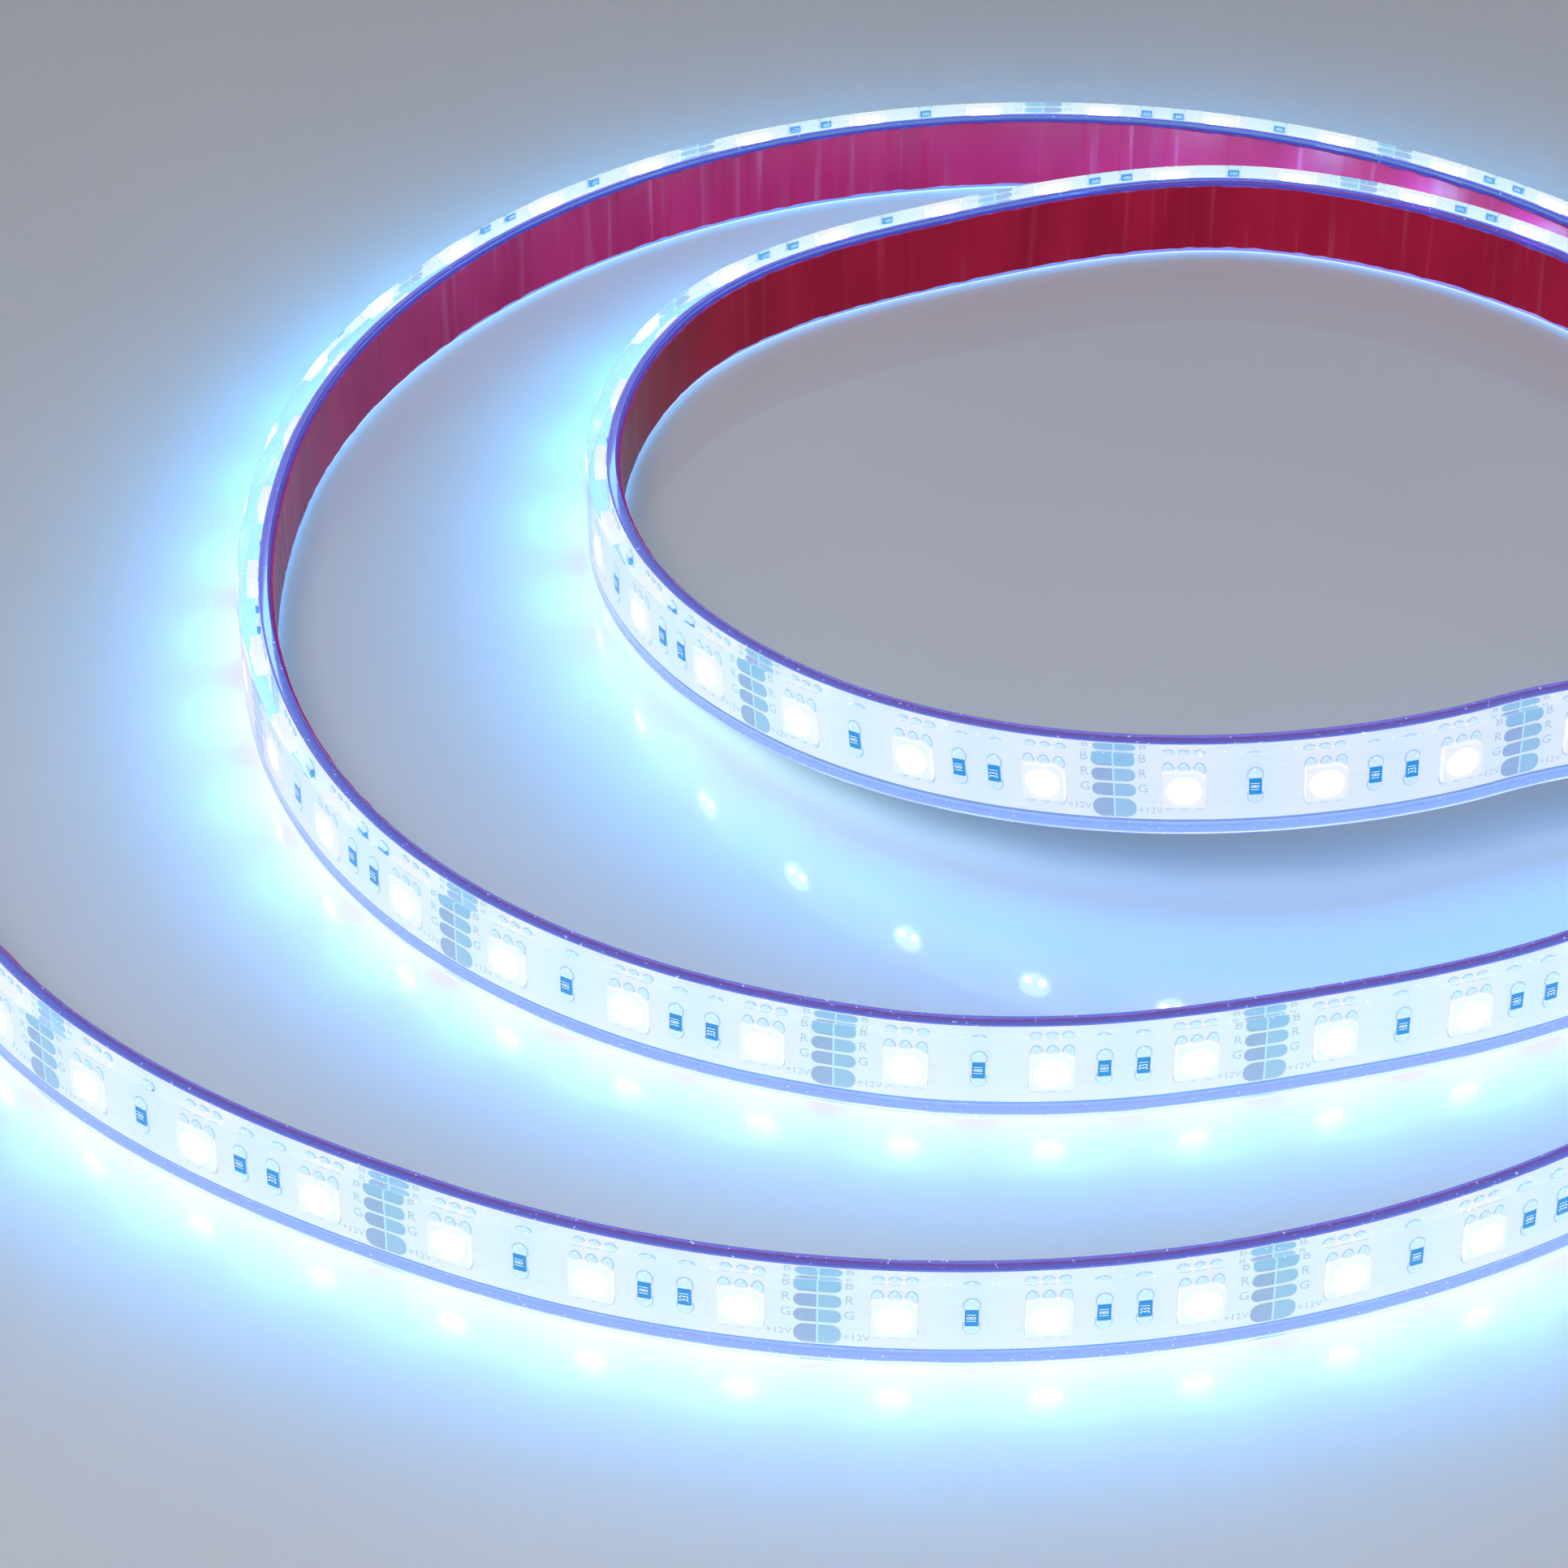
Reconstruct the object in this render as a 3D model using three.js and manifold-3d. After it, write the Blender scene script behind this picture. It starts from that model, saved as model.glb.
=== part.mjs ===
// LED strip light in three loose turns, standing on its edge. Millimetres, +Z up.
import * as THREE from "three";
import { mergeVertices } from "three/addons/utils/BufferGeometryUtils.js";
import Module from "manifold-3d";

const wasm = await Module();
wasm.setup();

// Electrical layout: the strip can be cut after each section
const sectionLength = 50;
const ledsPerSection = 3;
const sectionCount = 30;
const sectionsPerBoard = 10;

// Flexible board
const boardWidth = 10;
const boardThickness = 0.3;
const boardJointGap = 0.3;

// LED package, square with one cut corner
const ledSide = 5;
const ledHeight = 1.6;
const ledCornerCut = 0.8;

// Chip resistors, placed in pitches after an LED of the section
const resistorLength = 3.2;
const resistorWidth = 1.6;
const resistorHeight = 0.55;
const resistorPlaces = [
  { afterLed: 0, pitches: 0.37 },
  { afterLed: 0, pitches: 0.64 },
  { afterLed: 1, pitches: 0.5 },
];

// Clear silicone body, with a channel for the board and what it carries
const channelClearance = 0.3;
const frontWall = 0.95;
const backWall = 0.75;
const edgeWall = 0.7;
const bodyCorner = 0.5;

// Tape and release liner on the inward side
const layerGap = 0.1;
const tapeThickness = 0.2;
const tapeWidth = 10;
const linerThickness = 0.1;
const linerWidth = 10.2;

// End caps, each with a tongue that fills the channel beside the board
const capLength = 7;
const capGap = 0.3;
const capRounding = 0.8;
const tongueLength = 4;
const leadSlotHeight = 6.2;
const leadSlotDepth = 1.5;

// Route of the board: turns about a centre that drifts away from the gathered side
const innerRadius = 63.5;
const gatheredGap = 2.5;
const spreadGap = 45;
const spreadAngle = THREE.MathUtils.degToRad(212);
const startTurn = 0.095;
const freeEndTurns = 0.1;
const turnStep = 0.0005;

// Shallow kinks that the strip keeps from its packing: where, how wide in turns, how far out
const kinks = [
  { turn: 0.57, width: 0.18, out: 3 },
  { turn: 0.69, width: 0.1, out: -4.5 },
  { turn: 1.22, width: 0.08, out: -3.5 },
  { turn: 1.4, width: 0.13, out: 4 },
  { turn: 2.41, width: 0.08, out: 3.5 },
];

// The inner end climbs, and lies across the top edge of the next turn
const climbStart = 225;
const climbEnd = 60;
const restGap = 0.3;

// Flat facets along the route for each LED pitch
const facetsPerPitch = 2;

// Sizes that follow from the ones above, measured outwards from the board's middle plane
const ledPitch = sectionLength / ledsPerSection;
const stripLength = sectionLength * sectionCount;
const boardFront = boardThickness / 2;
const channelBack = -boardThickness / 2 - channelClearance;
const channelFront = boardFront + ledHeight + channelClearance;
const channelHeight = boardWidth + 2 * channelClearance;
const bodyBack = channelBack - backWall;
const bodyFront = channelFront + frontWall;
const bodyHeight = channelHeight + 2 * edgeWall;
const tapeFront = bodyBack - layerGap;
const tapeBack = tapeFront - tapeThickness;
const linerFront = tapeBack - layerGap;
const linerBack = linerFront - linerThickness;
const stripThickness = bodyFront - linerBack;

const smooth = (x) => THREE.MathUtils.smoothstep(x, 0, 1);

// Point of the route, seen from above, after a number of clockwise turns
function routePoint(turn) {
  const angle = -2 * Math.PI * turn;
  const growth = stripThickness + (gatheredGap + spreadGap) / 2;
  const drift = (spreadGap - gatheredGap) / 2;
  let radius = innerRadius + growth * turn;
  for (const kink of kinks) {
    radius += kink.out * smooth(1 - Math.abs(turn - kink.turn) / kink.width);
  }
  const toNextTurn = growth + drift * Math.cos(angle - spreadAngle);
  const freeShare = Math.max(0, 1 - (turn - startTurn) / freeEndTurns);
  radius += toNextTurn * freeShare ** 2;
  return new THREE.Vector2(
    drift * turn * Math.cos(spreadAngle) + radius * Math.cos(angle),
    drift * turn * Math.sin(spreadAngle) + radius * Math.sin(angle),
  );
}

// Height of the strip's lower edge at a length along the route
function climbAt(length) {
  const share = (climbStart - length) / (climbStart - climbEnd);
  return (bodyHeight + restGap) * smooth(share);
}

// Route points at chosen lengths, at the middle of the board's height
function pointsAt(lengths) {
  const points = [];
  let turn = startTurn;
  let here = routePoint(turn);
  let travelled = 0;
  for (const length of lengths) {
    let step = 0;
    let next = here;
    for (;;) {
      next = routePoint(turn + turnStep);
      step = here.distanceTo(next);
      if (travelled + step >= length) break;
      travelled += step;
      turn += turnStep;
      here = next;
    }
    const flat = here.clone().lerp(next, (length - travelled) / step);
    points.push(new THREE.Vector3(flat.x, flat.y, climbAt(length) + bodyHeight / 2));
  }
  return points;
}

// Corners of the faceted route, set so that every LED and resistor lies on one facet
function facetCorners() {
  const facet = ledPitch / facetsPerPitch;
  const corners = [0];
  for (let length = ledPitch / 4; length < stripLength; length += facet) corners.push(length);
  corners.push(stripLength);
  return corners;
}

const cornerLengths = facetCorners();
const cornerPoints = pointsAt(cornerLengths);

// Directions of one facet: along the strip, outwards, and up the strip's width
const facets = cornerPoints.slice(1).map((point, i) => {
  const along = point.clone().sub(cornerPoints[i]).normalize();
  const out = new THREE.Vector3(-along.y, along.x, 0).normalize();
  return { along, out, up: along.clone().cross(out) };
});

// Place on the route at a length, with the directions of its facet
function seatAt(length) {
  const last = facets.length - 1;
  let i = 0;
  while (i < last && cornerLengths[i + 1] <= length) i += 1;
  const share = (length - cornerLengths[i]) / (cornerLengths[i + 1] - cornerLengths[i]);
  const point = cornerPoints[i].clone().lerp(cornerPoints[i + 1], share);
  return { point, ...facets[i] };
}

// Place at a corner between two facets, with the outward direction stretched along the mitre
function mitreAt(i) {
  const before = facets[i - 1];
  const after = facets[i];
  const out = before.out.clone().add(after.out).normalize();
  out.divideScalar(out.dot(after.out));
  const up = before.up.clone().add(after.up).normalize();
  return { point: cornerPoints[i], along: after.along, out, up };
}

// Places along the route from one length to another
function stations(from, to) {
  const list = [seatAt(from)];
  for (let i = 1; i < facets.length; i += 1) {
    if (cornerLengths[i] > from && cornerLengths[i] < to) list.push(mitreAt(i));
  }
  list.push(seatAt(to));
  return list;
}

// Closed solid through a list of places. Outlines are [out, up] points, anticlockwise
function loft(places, outlineAt) {
  const positions = [];
  const indices = [];
  const size = outlineAt(0).length;
  places.forEach((place, i) => {
    for (const [out, up] of outlineAt(i)) {
      const vertex = place.point.clone();
      vertex.addScaledVector(place.out, out).addScaledVector(place.up, up);
      positions.push(...vertex.toArray());
    }
  });
  for (let i = 0; i + 1 < places.length; i += 1) {
    for (let j = 0; j < size; j += 1) {
      const a = i * size + j;
      const b = i * size + ((j + 1) % size);
      indices.push(a, b, b + size, a, b + size, a + size);
    }
  }
  const endStart = (places.length - 1) * size;
  const outline = outlineAt(0).map(([out, up]) => new THREE.Vector2(out, up));
  for (const [a, b, c] of THREE.ShapeUtils.triangulateShape(outline, [])) {
    indices.push(c, b, a, endStart + a, endStart + b, endStart + c);
  }
  const geometry = new THREE.BufferGeometry();
  geometry.setAttribute("position", new THREE.Float32BufferAttribute(positions, 3));
  geometry.setIndex(indices);
  return geometry;
}

// Outline of a plain band between two depths
function band(back, front, height) {
  const half = height / 2;
  return [
    [back, -half],
    [front, -half],
    [front, half],
    [back, half],
  ];
}

// Outline of the body with its long edges chamfered, drawn in by an inset
function bodyOutline(inset = 0) {
  const back = bodyBack + inset;
  const front = bodyFront - inset;
  const half = bodyHeight / 2 - inset;
  const cut = bodyCorner;
  return [
    [back + cut, -half],
    [front - cut, -half],
    [front, -half + cut],
    [front, half - cut],
    [front - cut, half],
    [back + cut, half],
    [back, half - cut],
    [back, -half + cut],
  ];
}

// Solid for cuts and joins, from a closed geometry
function toSolid(geometry) {
  const plain = new THREE.BufferGeometry();
  plain.setAttribute("position", geometry.getAttribute("position").clone());
  if (geometry.index) plain.setIndex(geometry.index.clone());
  const merged = mergeVertices(plain, 1e-4);
  return new wasm.Manifold(
    new wasm.Mesh({
      numProp: 3,
      vertProperties: merged.getAttribute("position").array,
      triVerts: new Uint32Array(merged.index.array),
    }),
  );
}

// Geometry of a finished solid
function toGeometry(solid) {
  const { vertProperties, triVerts } = solid.getMesh();
  const geometry = new THREE.BufferGeometry();
  geometry.setAttribute("position", new THREE.BufferAttribute(vertProperties, 3));
  geometry.setIndex(new THREE.BufferAttribute(triVerts, 1));
  const faceted = geometry.toNonIndexed();
  faceted.computeVertexNormals();
  return faceted;
}

// Small part that stands on the board, its foot sunk to the board's middle plane
function onBoard(shape, height, length) {
  const depth = boardFront + height;
  const geometry = new THREE.ExtrudeGeometry(shape, { depth, bevelEnabled: false });
  const { point, along, out, up } = seatAt(length);
  const turn = new THREE.Matrix4().makeBasis(along.clone().negate(), up, out);
  geometry.applyMatrix4(turn.setPosition(point));
  return toSolid(geometry);
}

// The cut corner is the one nearest the inner end, at the top edge
function ledShape() {
  const half = ledSide / 2;
  return new THREE.Shape([
    new THREE.Vector2(-half, -half),
    new THREE.Vector2(half, -half),
    new THREE.Vector2(half, half - ledCornerCut),
    new THREE.Vector2(half - ledCornerCut, half),
    new THREE.Vector2(-half, half),
  ]);
}

// Each resistor lies across the strip
function resistorShape() {
  const x = resistorWidth / 2;
  const y = resistorLength / 2;
  return new THREE.Shape([
    new THREE.Vector2(-x, -y),
    new THREE.Vector2(x, -y),
    new THREE.Vector2(x, y),
    new THREE.Vector2(-x, y),
  ]);
}

// One board with the LEDs and resistors that are soldered to it
function boardGeometry(firstSection, lastSection) {
  const from = firstSection * sectionLength + boardJointGap / 2;
  const to = lastSection * sectionLength - boardJointGap / 2;
  const outline = band(-boardThickness / 2, boardFront, boardWidth);
  const parts = [toSolid(loft(stations(from, to), () => outline))];
  for (let section = firstSection; section < lastSection; section += 1) {
    const start = section * sectionLength;
    for (let led = 0; led < ledsPerSection; led += 1) {
      parts.push(onBoard(ledShape(), ledHeight, start + (led + 0.5) * ledPitch));
    }
    for (const { afterLed, pitches } of resistorPlaces) {
      const length = start + (afterLed + 0.5 + pitches) * ledPitch;
      parts.push(onBoard(resistorShape(), resistorHeight, length));
    }
  }
  return toGeometry(wasm.Manifold.union(parts));
}

// Body along the whole strip, with its channel open at both ends
function bodyGeometry() {
  const places = stations(0, stripLength);
  const outer = toSolid(loft(places, () => bodyOutline()));
  const first = { ...places[0] };
  const last = { ...places[places.length - 1] };
  first.point = first.point.clone().addScaledVector(first.along, -1);
  last.point = last.point.clone().addScaledVector(last.along, 1);
  const through = [first, ...places.slice(1, -1), last];
  const channel = toSolid(loft(through, () => band(channelBack, channelFront, channelHeight)));
  return toGeometry(outer.subtract(channel));
}

// Thin layer along the whole strip
function layerGeometry(back, front, width) {
  const outline = band(back, front, width);
  return toGeometry(toSolid(loft(stations(0, stripLength), () => outline)));
}

// Straight run of places beyond an end of the strip, at distances along a direction
function beyond(place, direction, distances) {
  return distances.map((distance) => ({
    ...place,
    point: place.point.clone().addScaledVector(place.along, direction * distance),
  }));
}

// Cap that closes one end: direction is -1 at the inner end and 1 at the outer end
function capGeometry(length, direction, hasLeadSlot) {
  const place = seatAt(length);
  const run = (distances) => {
    const places = beyond(place, direction, distances);
    return direction < 0 ? places.reverse() : places;
  };
  const rounded = capGap + capLength;
  const shell = run([capGap, rounded - capRounding, rounded]);
  const roundedStation = direction < 0 ? 0 : shell.length - 1;
  const inset = (i) => (i === roundedStation ? capRounding / 2 : 0);
  const tongueBack = boardFront + channelClearance;
  const tongueFront = channelFront - channelClearance;
  const tongue = band(tongueBack, tongueFront, channelHeight - 2 * channelClearance);
  let cap = toSolid(loft(shell, (i) => bodyOutline(inset(i))));
  cap = cap.add(toSolid(loft(run([-tongueLength, 2 * capGap]), () => tongue)));
  if (hasLeadSlot) {
    const middle = (tongueBack + tongueFront) / 2;
    const slotBack = middle - leadSlotDepth / 2;
    const slotFront = middle + leadSlotDepth / 2;
    const slot = band(slotBack, slotFront, leadSlotHeight);
    const cut = run([-tongueLength - 1, rounded + 1]);
    cap = cap.subtract(toSolid(loft(cut, () => slot)));
  }
  return toGeometry(cap);
}

const finishes = {
  silicone: { color: 0xdfeaf2, roughness: 0.15, metalness: 0, transparent: true, opacity: 0.35 },
  board: { color: 0xeef6fb, roughness: 0.5, metalness: 0, emissive: 0x5fb4ff },
  tape: { color: 0xc9c4c8, roughness: 0.7, metalness: 0 },
  liner: { color: 0x9e1638, roughness: 0.35, metalness: 0 },
  cap: { color: 0xe4e8ec, roughness: 0.35, metalness: 0 },
};

function piece(name, geometry, finish) {
  const mesh = new THREE.Mesh(geometry, new THREE.MeshStandardMaterial(finishes[finish]));
  mesh.name = name;
  return mesh;
}

const strip = new THREE.Group();
strip.name = "led_strip_light_reel";
strip.add(piece("silicone_body", bodyGeometry(), "silicone"));
for (let first = 0, number = 1; first < sectionCount; first += sectionsPerBoard, number += 1) {
  const last = Math.min(first + sectionsPerBoard, sectionCount);
  strip.add(piece(`flex_board_${number}`, boardGeometry(first, last), "board"));
}
strip.add(piece("adhesive_tape", layerGeometry(tapeBack, tapeFront, tapeWidth), "tape"));
strip.add(piece("release_liner", layerGeometry(linerBack, linerFront, linerWidth), "liner"));
strip.add(piece("lead_end_cap", capGeometry(0, -1, true), "cap"));
strip.add(piece("blank_end_cap", capGeometry(stripLength, 1, false), "cap"));

// Origin on the resting surface, under the middle of the strip's outer box
const box = new THREE.Box3().setFromObject(strip);
const middle = box.getCenter(new THREE.Vector3());
strip.position.set(-middle.x, -middle.y, -box.min.z);

export default strip;
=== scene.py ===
"""LED strip light in three loose turns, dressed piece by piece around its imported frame."""

import logging
import math
from dataclasses import dataclass
from enum import Enum
from typing import Callable, Iterable, Protocol

import bmesh
import bpy
import numpy as np
from bmesh.types import BMEdge, BMVert
from bpy.types import Material, Node, NodeSocket, Object
from mathutils import Matrix, Vector, noise


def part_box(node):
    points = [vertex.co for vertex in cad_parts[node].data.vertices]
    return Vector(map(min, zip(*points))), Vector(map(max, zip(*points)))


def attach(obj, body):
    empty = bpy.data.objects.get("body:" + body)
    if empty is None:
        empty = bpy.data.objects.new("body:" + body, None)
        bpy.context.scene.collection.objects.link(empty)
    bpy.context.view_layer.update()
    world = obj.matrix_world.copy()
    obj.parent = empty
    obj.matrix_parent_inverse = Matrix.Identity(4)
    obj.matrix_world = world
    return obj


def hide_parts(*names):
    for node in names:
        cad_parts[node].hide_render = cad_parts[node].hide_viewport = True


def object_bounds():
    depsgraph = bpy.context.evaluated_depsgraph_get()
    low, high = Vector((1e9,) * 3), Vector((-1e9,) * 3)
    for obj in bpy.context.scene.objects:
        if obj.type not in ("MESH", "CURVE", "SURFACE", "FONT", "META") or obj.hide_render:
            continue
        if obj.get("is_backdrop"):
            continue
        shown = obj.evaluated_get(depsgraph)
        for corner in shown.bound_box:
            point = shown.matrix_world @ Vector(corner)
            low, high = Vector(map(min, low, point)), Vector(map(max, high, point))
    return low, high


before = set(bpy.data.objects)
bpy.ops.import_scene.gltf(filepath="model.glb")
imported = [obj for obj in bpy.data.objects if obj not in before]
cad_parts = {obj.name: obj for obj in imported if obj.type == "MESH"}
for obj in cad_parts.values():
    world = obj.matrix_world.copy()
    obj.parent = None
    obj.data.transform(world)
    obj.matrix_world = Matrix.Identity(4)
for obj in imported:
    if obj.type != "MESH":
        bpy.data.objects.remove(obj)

log = logging.getLogger("strip")

MM = 0.001
BODY = "root"
UV_NAME = "flat"
DEPTH_UV = "depth"
DOME_SEGMENTS = 10
DOME_RINGS = 4
DOME_SINK = 0.02 * MM

Pair = tuple[float, float]
Point = tuple[float, float, float]
Colour = tuple[float, float, float, float]
Spot = tuple[NodeSocket, NodeSocket, NodeSocket]


class Slot(Enum):
    """Names for the material slots of the scene's own pieces."""

    SILICONE = "clear_silicone"
    BOARD = "lit_board"
    TAPE = "tape"
    LINER = "liner"


class Terminal(Enum):
    """Lettering beside the copper pads of a cut, from the top pad down."""

    BLUE = "B"
    RED = "R"
    GREEN = "G"
    SUPPLY = "+12V"


class Seed(Enum):
    """Where each uneven edge or face starts in the noise."""

    COARSE = 3.0
    FINE = 7.0
    LINER = 11.0
    WRINKLE = 17.0


@dataclass(frozen=True)
class Layout:
    """Sizes that the strip's layers share, in metres. Depths run outwards from the board's middle."""

    section: float = 50 * MM
    leds_per_section: int = 3
    section_count: int = 30
    sections_per_board: int = 10
    board_width: float = 10 * MM
    board_half: float = 0.15 * MM
    board_joint_gap: float = 0.3 * MM
    body_back: float = -1.2 * MM
    body_front: float = 3.0 * MM
    body_height: float = 12 * MM
    tape_back: float = -1.5 * MM
    tape_width: float = 10 * MM
    liner_front: float = -1.6 * MM
    liner_back: float = -1.7 * MM
    liner_width: float = 10.2 * MM
    facet_relief: float = 0.06 * MM
    bond: float = 0.01 * MM
    print_lift: float = 0.015 * MM

    @property
    def length(self) -> float:
        """Whole length of the strip."""
        return self.section * self.section_count

    @property
    def pitch(self) -> float:
        """Distance from one LED to the next."""
        return self.section / self.leds_per_section

    @property
    def thickness(self) -> float:
        """Depth of the strip with its tape and liner."""
        return self.body_front - self.liner_back

    def led_places(self) -> list[float]:
        """Lengths of the LED centres."""
        count = self.section_count * self.leds_per_section
        return [(i + 0.5) * self.pitch for i in range(count)]

    def cut_places(self) -> list[float]:
        """Lengths of the cut lines between sections."""
        return [i * self.section for i in range(1, self.section_count)]


@dataclass(frozen=True)
class Kink:
    """Shallow bend that the strip keeps from its packing."""

    turn: float
    width: float
    out: float


@dataclass
class Route:
    """Line that the middle of the board follows, from the inner end outwards."""

    layout: Layout
    inner_radius: float = 63.5 * MM
    gathered_gap: float = 2.5 * MM
    spread_gap: float = 45 * MM
    spread_angle: float = math.radians(212)
    start_turn: float = 0.095
    last_turn: float = 3.2
    turn_step: float = 0.0005
    free_end_turns: float = 0.1
    climb_start: float = 225 * MM
    climb_end: float = 60 * MM
    rest_gap: float = 0.3 * MM
    box_samples: int = 4000
    slope_step: float = 0.1 * MM
    kinks: tuple[Kink, ...] = (
        Kink(0.57, 0.18, 3 * MM),
        Kink(0.69, 0.10, -4.5 * MM),
        Kink(1.22, 0.08, -3.5 * MM),
        Kink(1.40, 0.13, 4 * MM),
        Kink(2.41, 0.08, 3.5 * MM),
    )

    def __post_init__(self) -> None:
        """Tabulates the route by length."""
        turns = np.arange(self.start_turn, self.last_turn, self.turn_step)
        self.plan = self._plan(turns)
        steps = np.linalg.norm(np.diff(self.plan, axis=0), axis=1)
        self.lengths = np.concatenate([[0.0], np.cumsum(steps)])
        slope = np.gradient(self.plan, self.lengths, axis=0)
        self.along = slope / np.linalg.norm(slope, axis=1)[:, None]
        self.shift = np.zeros(2)
        self.shift = self._shift_to_frame()

    @staticmethod
    def _smooth(share: np.ndarray) -> np.ndarray:
        """Smooth step from 0 to 1."""
        inside = np.clip(share, 0, 1)
        return inside * inside * (3 - 2 * inside)

    def _plan(self, turns: np.ndarray) -> np.ndarray:
        """Points of the route seen from above.

        Args:
            turns: Clockwise turns from the X axis.

        Returns:
            One row of x and y for each turn value.
        """
        angle = -2 * math.pi * turns
        growth = self.layout.thickness + (self.gathered_gap + self.spread_gap) / 2
        drift = (self.spread_gap - self.gathered_gap) / 2
        radius = self.inner_radius + growth * turns
        for kink in self.kinks:
            radius = radius + kink.out * self._smooth(1 - np.abs(turns - kink.turn) / kink.width)
        to_next = growth + drift * np.cos(angle - self.spread_angle)
        free = np.maximum(0, 1 - (turns - self.start_turn) / self.free_end_turns)
        radius = radius + to_next * free**2
        x = drift * turns * math.cos(self.spread_angle) + radius * np.cos(angle)
        y = drift * turns * math.sin(self.spread_angle) + radius * np.sin(angle)
        return np.stack([x, y], axis=1)

    def _climb(self, length: np.ndarray) -> np.ndarray:
        """Height of the strip's lower edge at each length."""
        share = (self.climb_start - length) / (self.climb_start - self.climb_end)
        return (self.layout.body_height + self.rest_gap) * self._smooth(share)

    def _shift_to_frame(self) -> np.ndarray:
        """Move in plan that puts the body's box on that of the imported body."""
        layout = self.layout
        lengths = np.linspace(0, layout.length, self.box_samples)
        rims = [
            self.place(np.stack([lengths, np.full_like(lengths, depth), 0 * lengths], axis=1))
            for depth in (layout.body_back, layout.body_front)
        ]
        points = np.concatenate(rims)[:, :2]
        low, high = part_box("silicone_body")
        wanted = np.array([(low.x + high.x) / 2, (low.y + high.y) / 2])
        return wanted - (points.min(axis=0) + points.max(axis=0)) / 2

    def place(self, points: np.ndarray) -> np.ndarray:
        """Lays points of the straight strip along the route.

        Args:
            points: Rows of length, depth outwards and height from the board's middle.

        Returns:
            Rows of x, y and z in the object's frame.
        """
        length = np.clip(points[:, 0], 0, self.layout.length)
        beyond = points[:, 0] - length
        flat = np.stack([np.interp(length, self.lengths, self.plan[:, i]) for i in (0, 1)], axis=1)
        along = np.stack([np.interp(length, self.lengths, self.along[:, i]) for i in (0, 1)], axis=1)
        along /= np.linalg.norm(along, axis=1)[:, None]
        step = self.slope_step
        rise = (self._climb(length + step) - self._climb(length - step)) / (2 * step)
        tilt = 1 / np.sqrt(1 + rise**2)
        up = np.stack([-along[:, 0] * rise * tilt, -along[:, 1] * rise * tilt, tilt], axis=1)
        ahead = np.stack([along[:, 0] * tilt, along[:, 1] * tilt, rise * tilt], axis=1)
        out = np.stack([-along[:, 1], along[:, 0], np.zeros(len(points))], axis=1)
        base = np.empty((len(points), 3))
        base[:, :2] = flat + self.shift
        base[:, 2] = self._climb(length) + self.layout.body_height / 2
        return base + ahead * beyond[:, None] + out * points[:, 1:2] + up * points[:, 2:3]


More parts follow.
